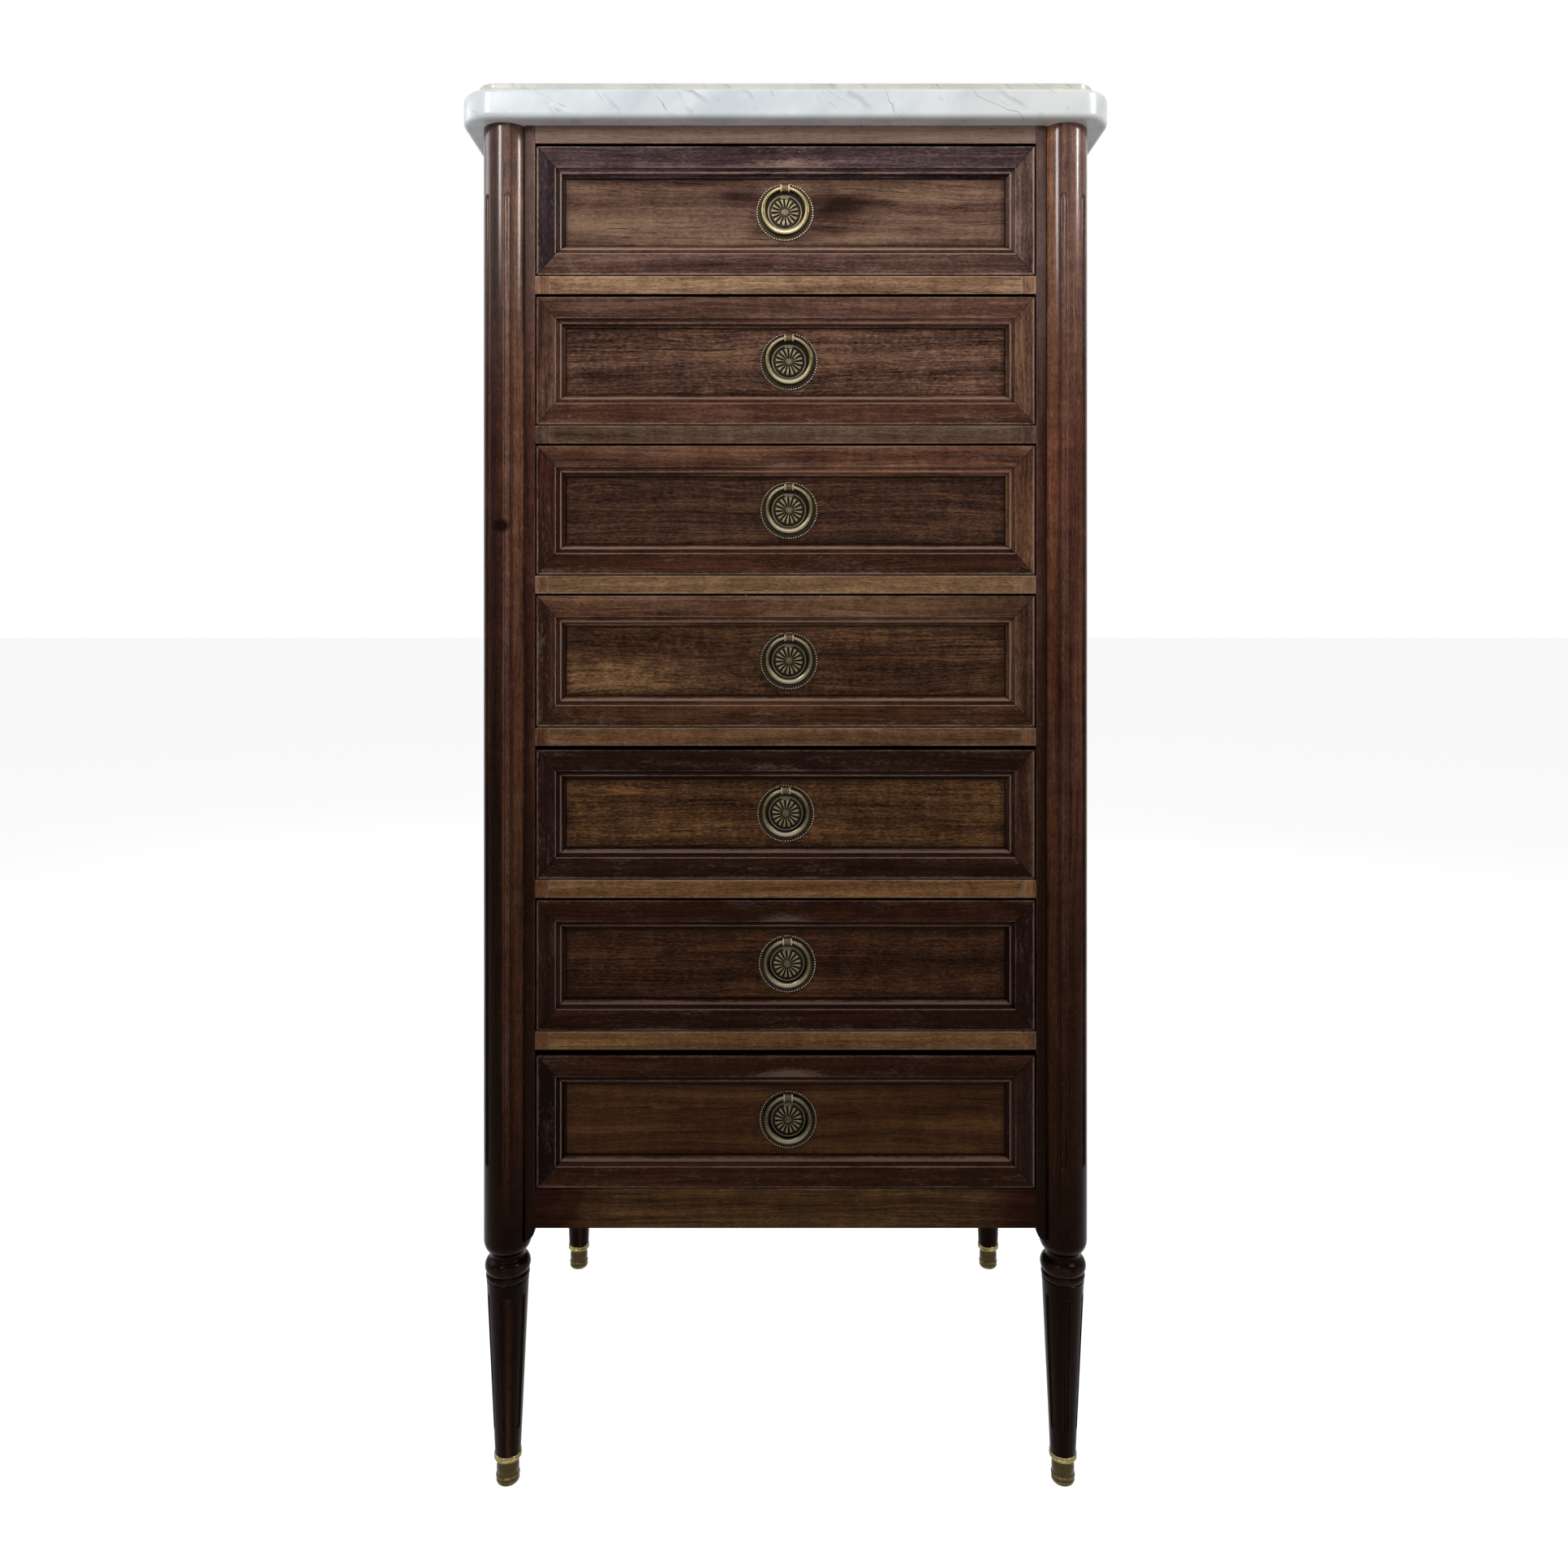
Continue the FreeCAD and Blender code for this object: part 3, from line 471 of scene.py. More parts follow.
@dataclass(frozen=True)
class AntiqueBrass(Finish):
    """Cast and stamped brass: dull gold on what is touched, brown-green patina in every hollow."""

    name: str
    metal: str
    patina: str
    bright: str
    roughness: float

    def draw(self, nodes: Nodes) -> None:
        """Adds the metal's nodes, by the wear attribute: below zero in hollows, above it on ridges and
        painted highlights.
        """
        # Patina clouds about two millimetres wide, and finer tarnish inside them
        values = {"Vector": nodes.spot(), "Scale": 420.0, "Detail": 4.0}
        cloud = nodes.add("ShaderNodeTexNoise", values, "Fac")
        uneven = nodes.math("MULTIPLY_ADD", cloud, 0.5, -0.25)
        level = nodes.math("ADD", nodes.attribute("wear", "Fac"), uneven)
        share = nodes.step(level, -1.0, 1.0, kind="LINEAR")
        metal = nodes.ramp(share, (0.12, self.patina), (0.92, self.bright), (0.5, self.metal))
        rough = nodes.step(level, -1.0, 0.8, self.roughness + 0.3, self.roughness, "LINEAR")
        nodes.finish({
            "Base Color": nodes.mix("MULTIPLY", 1.0, metal, nodes.attribute("stain")),
            "Metallic": 1.0,
            "Roughness": rough,
            "Normal": nodes.add("ShaderNodeBump", {"Strength": 0.15, "Distance": 0.0002, "Height": cloud}),
        })


CARCASS = Mahogany("polished_mahogany", "#33211b", "#573e34", "#7e5f4e", streak=0.6, band=0.6, mottle=0.4,
                   fleck=0.5, specular=0.05, roughness=0.2, waxed=(960.0, 1250.0, 0.55))
LEFT_POST = replace(CARCASS, name="polished_mahogany_knotted", knot=(-261.5, -189.0, 892.0))
APRON = replace(CARCASS, name="apron_mahogany", waxed=None, streak=0.9, band=0.9)
FRAMES = Mahogany("drawer_frame_mahogany", "#2a1b18", "#5a4239", "#886b5d", rubbed="#967a6b", fleck=0.5,
                  mottle=0.3, scuff=0.15)
PANELS = Mahogany("drawer_panel_mahogany", "#463127", "#6b5142", "#8f725a", mottle=0.35, fleck=0.6,
                  band=1.1, hairlines=0.8)
BOLD_PANELS = replace(PANELS, name="figured_panel_mahogany", dark="#2b1a11", light="#ab8661", streak=0.9,
                      fleck=0.8, mottle=0.4, band=0.7, grain_width=1.7)
RAIL = Mahogany("worn_rail_mahogany", "#573f2e", "#80634d", "#a98c6e", rubbed="#b09a80", fleck=0.6,
                mottle=0.4)
FRIEZE = replace(RAIL, name="frieze_mahogany", dark="#68503e", light="#947860", fleck=0.3, band=0.6,
                 mottle=0.2, hairlines=0.3)
SIDES = Mahogany("side_panel_mahogany", "#3a241b", "#573a2c", "#75543f", band=1.0, mottle=0.3)
OAK = Mahogany("bare_oak", "#8d6f4c", "#ab8b63", "#c2a67d", rubbed="#cdb592", roughness=0.62, specular=0.2,
               mottle=0.15)
OAK_ALONG_Y = replace(OAK, name="bare_oak_along_depth", grain=Grain.Y)
OAK_ALONG_X = replace(OAK, name="bare_oak_along_width", grain=Grain.X)
STONE = CarraraMarble()
PLATE_BRASS = AntiqueBrass("antique_brass_plate", "#675d48", "#211c11", "#b3a588", 0.32)
RING_BRASS = AntiqueBrass("handled_brass_ring", "#75653f", "#2e2410", "#e6d4a4", 0.2)
SABOT_BRASS = AntiqueBrass("antique_brass_sabot", "#443b22", "#14110b", "#bca872", 0.2)


# Meshes


class Draft:
    """Closed shells gathered for one piece, with each point's place in its own board, stain and wear, which
    in places also carry painted light and shade.
    """

    FADE = 2.0  # how far the wear of a block's edge reaches

    def __init__(self, seed: int = 1) -> None:
        """Starts with no shells, and its own order of chance."""
        self.chance = random.Random(seed)
        self.points: list[np.ndarray] = []
        self.faces: list[tuple[int, ...]] = []
        self.values: dict[str, list[np.ndarray]] = {"board": [], "stain": [], "wear": [], "rub": []}
        self.count = 0

    def add(self, points: np.ndarray, faces: Sequence[Sequence[int]], grain: Grain = Grain.X,
            stain: Stain | np.ndarray = (1.0, 1.0, 1.0), wear: float | np.ndarray = 0.0,
            place: Matrix | None = None, rub: float | None = None) -> None:
        """Adds one shell cut from one board.

        Args:
            points: its points in millimetres, one row each.
            faces: its faces as indexes of those points.
            grain: the way the board's grain runs.
            stain: the colour that tints the wood, with any painted light or shade, for the board or for
                each point.
            wear: from -1 in a grimy hollow or painted shade to 1 on a rubbed edge or painted highlight, for
                the board or for each point.
            place: where the points go, if they are not in the chest's frame.
            rub: how pale its rubbed wood is, or nothing for as pale as the stain leaves it.
        """
        points = np.asarray(points, float).reshape(-1, 3)
        if place is not None:
            turn = np.array(place)
            points = points @ turn[:3, :3].T + turn[:3, 3]
        shift = [self.chance.uniform(-900, 900) for _ in range(3)]
        lean = self.chance.uniform(-0.012, 0.012)
        board = points[:, list(grain.value)] + np.array(shift)
        board[:, 1] += board[:, 0] * lean
        stain = np.broadcast_to(np.asarray(stain, float), (len(points), 3))
        pale = 0.06 + 0.9 * stain.mean(axis=1) if rub is None else rub
        self.points.append(points)
        for name, value in (("board", board * MM), ("stain", stain)):
            self.values[name].append(value)
        for name, value in (("wear", wear), ("rub", pale)):
            self.values[name].append(np.broadcast_to(np.asarray(value, float), (len(points),)))
        self.faces += [tuple(int(i) + self.count for i in face) for face in faces]
        self.count += len(points)

    def loft(self, sections: Sequence, wrap: bool = False, wear: float | np.ndarray = 0.0,
             **look: object) -> None:
        """Skins closed sections, one after the other, and caps the ends or joins the last to the first.

        Args:
            sections: rows of sections, each a closed loop of as many points.
            wrap: whether the last section joins the first, with no caps.
            wear: the wear of the shell, with any painted light or shade, of each section or of each point.
            **look: what add takes.
        """
        sections = np.asarray(sections, float)
        rows, cols = sections.shape[:2]
        index = np.arange(rows * cols).reshape(rows, cols)
        ahead = np.roll(index, -1, axis=0) if wrap else index[1:]
        here = index if wrap else index[:-1]
        quads = np.stack([here, np.roll(here, -1, 1), np.roll(ahead, -1, 1), ahead], axis=-1)
        faces = quads.reshape(-1, 4).tolist()
        if not wrap:
            faces += [index[0][::-1].tolist(), index[-1].tolist()]
        wear = np.asarray(wear, float)
        spread = wear[:, None] if wear.ndim == 1 else wear
        self.add(sections, faces, wear=np.broadcast_to(spread, (rows, cols)).ravel(), **look)

    def prism(self, outline: Sequence[Pair], axis: int, low: float, high: float, **look: object) -> None:
        """Pushes an outline, given on the two other axes in their order, along axis 0, 1 or 2."""
        flat = np.array(outline, float)
        self.loft([np.insert(flat, axis, level, axis=1) for level in (low, high)], **look)

    def block(self, low: Sequence[float], high: Sequence[float], round_over: float = 0.6,
              cell: float = 0.0, edge_wear: float = 0.7, paint: Paint | None = None,
              stain: Stain = (1.0, 1.0, 1.0), **look: object) -> None:
        """A board with rounded-over, rubbed edges.

        Args:
            low: its lowest corner.
            high: its highest corner.
            round_over: the radius of its edges.
            cell: the longest distance between its points, or zero for none but the edges.
            edge_wear: the wear at its edges.
            paint: gives a tint factor and extra wear for each point.
            stain: the board's tint, with any painted light or shade.
            **look: what else add takes.
        """
        low, high = np.array(low, float), np.array(high, float)
        stations = []
        for start, end in zip(low, high):
            inset = min(round_over, (end - start) / 3)
            fade = min(inset + self.FADE, (end - start) / 2.2)
            values = [start, start + inset, start + fade, end - fade, end - inset, end]
            if cell:
                count = max(1, int(round((end - start - 2 * fade) / cell)))
                values += list(np.linspace(start + fade, end - fade, count + 1)[1:-1])
            stations.append(sorted(values))
        index: dict[tuple[int, ...], int] = {}
        faces = []
        for axis in range(3):
            one, two = [a for a in range(3) if a != axis]
            for level in (0, len(stations[axis]) - 1):
                for i in range(len(stations[one]) - 1):
                    for j in range(len(stations[two]) - 1):
                        face = []
                        for di, dj in ((0, 0), (1, 0), (1, 1), (0, 1)):
                            key = [0, 0, 0]
                            key[axis], key[one], key[two] = level, i + di, j + dj
                            face.append(index.setdefault(tuple(key), len(index)))
                        faces.append(face)
        points = np.array([[stations[a][key[a]] for a in range(3)] for key in index])
        gaps = np.sort(np.minimum(points - low, high - points), axis=1)
        wear = edge_wear * np.clip(1 - gaps[:, 1] / (self.FADE + 0.2), 0, 1)
        inset = np.minimum(round_over, (high - low) / 3)
        core = np.clip(points, low + inset, high - inset)
        away = points - core
        reach = np.linalg.norm(away, axis=1, keepdims=True)
        limit = np.abs(away).max(axis=1, keepdims=True)
        points = np.where(reach > 1e-9, core + away * limit / np.maximum(reach, 1e-9), points)
        stain = np.broadcast_to(stain, (len(points), 3))
        if paint is not None:
            tint, extra = paint(points)
            stain, wear = stain * tint, wear + extra
        self.add(points, faces, stain=stain, wear=np.clip(wear, -1, 1), **look)

    def finish(self, name: str, finish: Finish, smooth: float = 32.0) -> bpy.types.Object:
        """Makes the object at the origin, with its faces turned outwards.

        Args:
            name: the piece's name.
            finish: what its material looks like.
            smooth: faces that meet at a sharper turn than this, in degrees, keep their edge.

        Returns:
            The new object.
        """
        mesh = bpy.data.meshes.new(name)
        mesh.from_pydata((np.concatenate(self.points) * MM).tolist(), [], self.faces)
        for title, values in self.values.items():
            kind, key = ("FLOAT_VECTOR", "vector") if values[0].ndim > 1 else ("FLOAT", "value")
            data = mesh.attributes.new(title, kind, "POINT").data
            data.foreach_set(key, np.concatenate(values).astype(np.float32).ravel())
        shells = bmesh.new()
        shells.from_mesh(mesh)
        bmesh.ops.recalc_face_normals(shells, faces=shells.faces)
        shells.to_mesh(mesh)
        shells.free()
        mesh.shade_smooth()
        mesh.set_sharp_from_angle(angle=math.radians(smooth))
        mesh.materials.append(finish.material())
        return placed(name, mesh)

    def settle(self, name: str, finish: Finish, body: str, slot: str, node: str,
               smooth: float = 32.0) -> None:
        """Makes the object and puts it on its body in place of the node that it stands for."""
        settle(self.finish(name, finish, smooth), body, slot, node)


def placed(name: str, data: bpy.types.ID | None) -> bpy.types.Object:
    """A new object in the scene, with its data.

    Args:
        name: the object's name.
        data: its mesh, lamp or camera.

    Returns:
        The object.
    """
    thing = bpy.data.objects.new(name, data)
    bpy.context.scene.collection.objects.link(thing)
    return thing


def settle(piece: bpy.types.Object, body: str, slot: str, *nodes: str) -> None:
    """Puts a piece on its body.

    Args:
        piece: the finished object.
        body: the body that it moves with.
        slot: the record's material slot; not used.
        *nodes: the nodes of the frame that it replaces.
    """
    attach(piece, body)
    if nodes:
        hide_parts(*nodes)
    log.info("%s: %d faces on %s", piece.name, len(piece.data.polygons), body)


# Carcass


@dataclass
class MarbleTop:
    """The slab with its rounded front corners, the inset band over it and the cove between them."""

    thick: float = 38.0
    corner_radius: float = 32.0
    band_height: float = 11.0
    band_inset: float = 14.0
    cove: float = 7.0
    top_arris: float = 1.5
    face_arris: float = 4.0
    under_arris: float = 5.0
    corner_steps: int = 14
    edge_steps: int = 8

    def profile(self) -> list[Pair]:
        """The moulded edge from the underside to the top.

        Returns:
            Its (inset, height) points.
        """
        step = self.thick - self.band_height
        arcs = (
            (self.under_arris, self.under_arris, self.under_arris, -90.0, -180.0),
            (self.face_arris, step - self.face_arris, self.face_arris, 180.0, 90.0),
            (self.band_inset - self.cove, step + self.cove, self.cove, -90.0, 0.0),
            (self.band_inset + self.top_arris, self.thick - self.top_arris, self.top_arris, 180.0, 90.0),
        )
        return [point for stretch in arcs for point in arc(*stretch, self.edge_steps)]

    def plan(self, limits: Limits, inset: float) -> list[Pair]:
        """The outline in plan, drawn in from the sides and the front but not from the back.

        Args:
            limits: the slab's box.
            inset: how far it is drawn in.

        Returns:
            Its (x, y) points.
        """
        left, right = limits.low[0] + inset, limits.high[0] - inset
        back, radius = limits.high[1], self.corner_radius - inset
        y = limits.low[1] + inset + radius
        near = arc(left + radius, y, radius, 180.0, 270.0, self.corner_steps)
        far = arc(right - radius, y, radius, 270.0, 360.0, self.corner_steps)
        return [(left, back), *near, *far, (right, back)]

    def build(self) -> None:
        """Makes the slab."""
        limits = Limits.of("marble_top")
        draft = Draft()
        draft.loft([[(x, y, limits.low[2] + height) for x, y in self.plan(limits, inset)]
                    for inset, height in self.profile()])
        draft.settle("marble_slab", STONE, "carcass", "marble", "marble_top", 40)


@dataclass
class TurnedPost:
    """One corner post: its stile above, and the turned and fluted leg below it."""

    side: Side
    front: bool
    axis: Pair
    radius: float
    stain: Stain = (1.0, 1.0, 1.0)

    turning_height: ClassVar[float] = 56.7
    leg_foot_radius: ClassVar[float] = 11.9
    spigot: ClassVar[Pair] = (8.5, 6.1)  # radius and lowest level, in the sabot
    # Radii of a flute at its foot and head, and how far it stops from the foot and head of its stretch
    leg_bores: ClassVar[Pair] = (2.4, 3.3)
    leg_margins: ClassVar[Pair] = (24.0, 7.0)
    column_bores: ClassVar[Pair] = (3.5, 3.5)
    column_margins: ClassVar[Pair] = (57.0, 63.6)
    column_flute_depth: ClassVar[float] = 2.5
    column_flutes: ClassVar[tuple[float, ...]] = (-102.0, -45.0, 12.0)
    # The strip beside the column: its edges' distance from the middle, and the radius of its foot
    strip_edges: ClassVar[Pair] = (231.4, 240.3)
    strip_drop: ClassVar[float] = 14.0
    strip_ease: ClassVar[Pair] = (0.7, 2.2)  # the chamfer of its inner edge, and how far that is rubbed
    stock_outer: ClassVar[float] = 272.0
    # The post's tint by level, darker towards the foot: partly bleached wood, partly painted shade where
    # the light falls off from above
    stain_and_shade_by_level: ClassVar[tuple[tuple[float, ...], ...]] = (
        (0.0, 0.035, 0.014, 0.006), (200.0, 0.04, 0.018, 0.01), (244.0, 0.07, 0.04, 0.028),
        (309.0, 0.11, 0.068, 0.05), (495.0, 0.22, 0.15, 0.115), (719.0, 0.42, 0.31, 0.26),
        (943.0, 0.74, 0.55, 0.48), (1075.0, 0.88, 0.73, 0.67), (1262.0, 1.22, 1.08, 1.00),
    )
    # Painted light and shade on the column's inner and outer halves by level
    side_shading_by_level: ClassVar[dict[Side, tuple[Point, ...]]] = {
        Side.LEFT: ((300.0, 2.3, 0.5), (481.0, 2.3, 0.5), (779.0, 2.0, 0.75), (1054.0, 1.3, 0.7),
                    (1262.0, 1.0, 0.8)),
        Side.RIGHT: ((300.0, 1.3, 1.1), (779.0, 1.25, 1.0), (1054.0, 1.4, 1.0), (1262.0, 1.1, 1.0)),
    }
    # The knop: share of its height, share of the post's radius, bulge of the stretch that follows
    turning: ClassVar[tuple[Point, ...]] = (
        (0.00, 0.872, 0.0), (0.07, 0.886, 0.0), (0.08, 0.859, 0.0), (0.09, 0.873, 0.16), (0.19, 0.873, 0.0),
        (0.20, 0.859, 0.24), (0.43, 0.755, 0.0), (0.44, 0.727, -0.10), (0.52, 0.714, 0.12),
        (0.74, 1.000, 0.0),
    )

    @staticmethod
    def azimuths(flutes: Sequence[float]) -> np.ndarray:
        """Azimuths round the post in degrees, close together at the flutes.

        Args:
            flutes: the azimuths of their middles.

        Returns:
            The azimuths, rising.
        """
        values = set(np.arange(-180.0, 180.0, 5.0).tolist())
        for middle in flutes:
            values = {v for v in values if abs((v - middle + 180) % 360 - 180) > 12}
            values |= {(middle + d + 180) % 360 - 180 for d in np.arange(-11.2, 11.3, 0.8)}
        return np.array(sorted(values))

    @staticmethod
    def levels(low: float, high: float, ends: Sequence[float], bores: Sequence[float]) -> list[float]:
        """Levels from low to high, close together near the rounded ends of the flutes.

        Args:
            low: the lowest level.
            high: the highest level.
            ends: where a flute's rounded ends start.
            bores: its radius at each.

        Returns:
            The levels, rising.
        """
        values = {low, high}
        for middle, bore in zip(ends, bores):
            values |= {middle + bore * math.sin(math.radians(a)) for a in range(-90, 91, 9)}
        return sorted(v for v in values if low <= v <= high)

    @staticmethod
    def flute(level: float, ends: Sequence[float], bores: Sequence[float]) -> Pair:
        """A flute's radius at a level, as its taper gives it and as its rounded ends leave it.

        Args:
            level: the height.
            ends: where its rounded ends start.
            bores: its radius at each.

        Returns:
            Both radii.
        """
        share = min(max((level - ends[0]) / (ends[1] - ends[0]), 0), 1)
        full = bores[0] + (bores[1] - bores[0]) * share
        beyond = max(ends[0] - level, level - ends[1], 0)
        return full, math.sqrt(max(full**2 - beyond**2, 0))

    def ring(self, angles: np.ndarray, level: float, radius: float, extra: float = 0.0,
             flutes: Sequence[float] = (), bore: float = 0.0, distance: float = 0.0) -> Arrays:
        """One ring of the post's surface.

        Args:
            angles: its azimuths in degrees.
            level: its height.
            radius: the plain radius there.
            extra: wear on top of what the flutes give.
            flutes: the azimuths of the flutes.
            bore: the flutes' radius.
            distance: from the post's axis to the flutes' centre lines.

        Returns:
            The ring's points and their wear.
        """
        reach = np.full(len(angles), radius)
        wear = np.full(len(angles), 0.12)
        for middle in flutes if bore > 0.05 else ():
            off = np.radians((angles - middle + 180) % 360 - 180)
            across = distance * np.sin(off)
            cut = distance * np.cos(off) - np.sqrt(np.maximum(bore**2 - across**2, 0))
            hollow = (np.abs(across) < bore) & (np.abs(off) < 0.5) & (cut < reach)
            reach = np.where(hollow, cut, reach)
            wear = np.where(hollow, np.clip((radius - cut) * 0.25 - 0.1, -0.1, 0.3), wear)
            edge = np.abs(np.abs(off) * radius - bore * 0.93) < 0.5
            wear = np.where(edge & ~hollow, 0.7, wear)
        ring = circle(self.axis, reach, level, np.radians(angles), self.side.value)
        return ring, np.clip(wear + extra, -1, 1)

    def leg(self, draft: Draft) -> None:
        """Adds the tapered leg with its six flutes and the knop over it.

        Args:
            draft: gets the shell.
        """
        foot, head = SABOT_HEIGHT, APRON_FOOT - self.turning_height
        head_radius, bores = self.radius * self.turning[0][1], self.leg_bores
        ends = (foot + self.leg_margins[0] + bores[0], head - self.leg_margins[1] - bores[1])
        flutes = [-90.0 + 60.0 * i for i in range(6)]
        angles = self.azimuths(flutes)
        made = [self.ring(angles, level, self.spigot[0], -0.5) for level in (self.spigot[1], foot)]
        for level in self.levels(foot, head, ends, bores):
            taper = (head_radius - self.leg_foot_radius) * (level - foot) / (head - foot)
            radius = self.leg_foot_radius + taper
            full, bore = self.flute(level, ends, bores)
            made.append(self.ring(angles, level, radius, 0.0, flutes, bore, radius + 0.3 * full))
        corners = [(self.radius * reach, head + self.turning_height * rise, bulge)
                   for rise, reach, bulge in self.turning]
        for radius, level in bulged([*corners, (self.radius, APRON_FOOT + 2.0, 0.0)], 9)[1:]:
            knopped = level < APRON_FOOT - self.turning_height * 0.5 and radius > self.radius * 0.9
            made.append(self.ring(angles, level, radius, 0.4 if knopped else -0.2))
        if not self.front:
            made.append(self.ring(angles, APRON_FOOT + self.radius, self.radius))
        sections, wears = (np.array(values) for values in zip(*made))
        # Painted light: a pale stripe down the flute wall where light falls, stronger on the left leg
        facing = -90.0 + 15.0 * self.side.value
        lit_stripe = np.exp(-((np.tile(angles, len(sections)) - facing) / 10.0) ** 4)
        lit_stripe *= sections[..., 2].ravel() < ends[1] + bores[1]
        lit_tint = (0.17, 0.15, 0.09) if self.side is Side.LEFT else (0.03, 0.025, 0.018)
        stain = self.tint(sections) + lit_stripe[:, None] * np.array(lit_tint)
        draft.loft(sections, grain=Grain.Z, stain=stain, wear=wears)

    def tint(self, points: np.ndarray) -> np.ndarray:
        """The stain and painted shade of any array of points by level, one tint for each as rows."""
        return by_level(self.stain_and_shade_by_level, points[..., 2].ravel()) * self.stain

    @property
    def azimuth_shading(self) -> tuple[tuple[float, ...], ...]:
        """Painted light and shade round the column by azimuth: dark on the flutes' edges, dark outside on
        the left one and pale outside on the right one.
        """
        outside = (0.50, 0.48, 0.60) if self.side is Side.LEFT else (1.15, 1.05, 1.05)
        return (
            (-180.0, 1.25, 1.10, 0.90), (-140.0, 1.40, 1.25, 1.00), (-118.0, 1.20, 1.05, 0.90),
            (-112.0, 0.35, 0.28, 0.28), (-109.5, 0.45, 0.38, 0.38), (-105.0, 1.35, 1.15, 1.10),
            (-96.0, 1.20, 1.05, 1.00), (-91.0, 0.60, 0.55, 0.60), (-84.0, 0.95, 0.90, 0.95),
            (-72.0, *outside), (-56.0, *outside), (-53.0, 0.35, 0.30, 0.32), (-50.0, 0.95, 0.80, 0.80),
            (-38.0, 0.90, 0.75, 0.75), (180.0, 1.00, 0.95, 0.95),
        )

    def shaded(self, points: np.ndarray) -> np.ndarray:
        """The stain of the column's points, with painted light and shade round it.

        Args:
            points: the column's, in rings.

        Returns:
            A tint for each point, as rows.
        """
        x, y, level = points.reshape(-1, 3).T
        turn = np.degrees(np.arctan2(y - self.axis[1], self.side.value * (x - self.axis[0])))
        azimuth_shading = by_level(self.azimuth_shading, turn)
        inside = turn < -88
        inner, outer = by_level(self.side_shading_by_level[self.side], level).T
        side_shading = np.where(inside, inner, outer)
        if self.side is Side.LEFT:
            # The painted light on its inner half is less red
            azimuth_shading = np.where(inside[:, None], azimuth_shading * (0.86, 1.06, 1.16), azimuth_shading)
        # The differences round it die out towards the foot, where the leg carries on
        share = np.clip((level - APRON_FOOT - 4.0) / 75.0, 0, 1)[:, None]
        return self.tint(points) * (1 + (azimuth_shading * side_shading[:, None] - 1) * share)

    def column(self, draft: Draft) -> None:
        """Adds the round column of a front post with its three flutes.

        Args:
            draft: gets the shell.
        """
        bores, bore = self.column_bores, self.column_bores[0]
        ends = (APRON_FOOT + self.column_margins[0] + bore, POST_HEAD - self.column_margins[1] - bore)
        distance = self.radius + bore - self.column_flute_depth
        angles = self.azimuths(self.column_flutes)
        levels = self.levels(APRON_FOOT + 2.0, POST_HEAD, ends, bores)
        levels += list(np.linspace(ends[0] + bore, ends[1] - bore, 60))
        made = [self.ring(angles, level, self.radius, 0.0, self.column_flutes,
                          self.flute(level, ends, bores)[1], distance) for level in sorted(levels)]
        sections, wears = (np.array(values) for values in zip(*made))
        draft.loft(sections, grain=Grain.Z, stain=self.shaded(sections), wear=wears)

    def strip(self, draft: Draft) -> None:
        """Adds the flat strip beside the column, with its rounded foot, and the stock behind both.

        Args:
            draft: gets the shells.
        """
        sign, back, drop = self.side.value, self.axis[1], self.strip_drop
        (inner, outer), (ease, rubbed) = self.strip_edges, self.strip_ease
        levels = [APRON_FOOT - drop * math.sin(math.radians(a)) for a in range(68, -1, -4)]
        levels += list(np.linspace(APRON_FOOT, POST_HEAD, 40)[1:])
        sections = []
        for level in levels:
            near = inner + drop - math.sqrt(drop**2 - max(APRON_FOOT - level, 0) ** 2)
            corners = ((near, back), (near, FRONT_Y + ease), (near + ease, FRONT_Y),
                       (near + rubbed, FRONT_Y), (outer, FRONT_Y), (outer, back))
            sections.append([(sign * x, y, level) for x, y in corners])
        sections = np.array(sections)
        # The strip darkens towards the column as painted shade in the crease; the chamfer on its inner edge
        # is rubbed pale
        wear = np.tile([0.0, 0.3, 0.5, -0.1, -0.6, 0.0], (len(sections), 1))
        pale = (0.95, 0.90, 1.0) if self.side is Side.LEFT else (0.55, 0.52, 0.64)
        draft.loft(sections, grain=Grain.Z, stain=self.tint(sections) * pale, wear=wear)
        low_x, high_x = sorted((sign * inner, sign * self.stock_outer))
        self.stock(draft, (low_x, back, APRON_FOOT), (high_x, FRONT_STOCK_BACK, POST_HEAD))

    def stock(self, draft: Draft, low: Sequence[float], high: Sequence[float]) -> None:
        """Adds the square stock of the post, stained by height."""
        draft.block(low, high, 1.0, cell=60.0, grain=Grain.Z, edge_wear=0.5,
                    paint=lambda points: (self.tint(points), np.zeros(len(points))))

    def build(self) -> None:
        """Makes the post in one piece of wood."""
        node = f"{self.side.name.lower()}_{'front' if self.front else 'rear'}_post"
        draft = Draft(seed=11 + 3 * self.side.value + (5 if self.front else 0))
        self.leg(draft)
        if self.front:
            self.column(draft)
            self.strip(draft)
        else:
            limits = Limits.of(node)
            self.stock(draft, (limits.low[0], limits.low[1], APRON_FOOT), limits.high)
        finish = LEFT_POST if self.front and self.side is Side.LEFT else CARCASS
        draft.settle(f"{node}_turned", finish, "carcass", "mahogany", node)


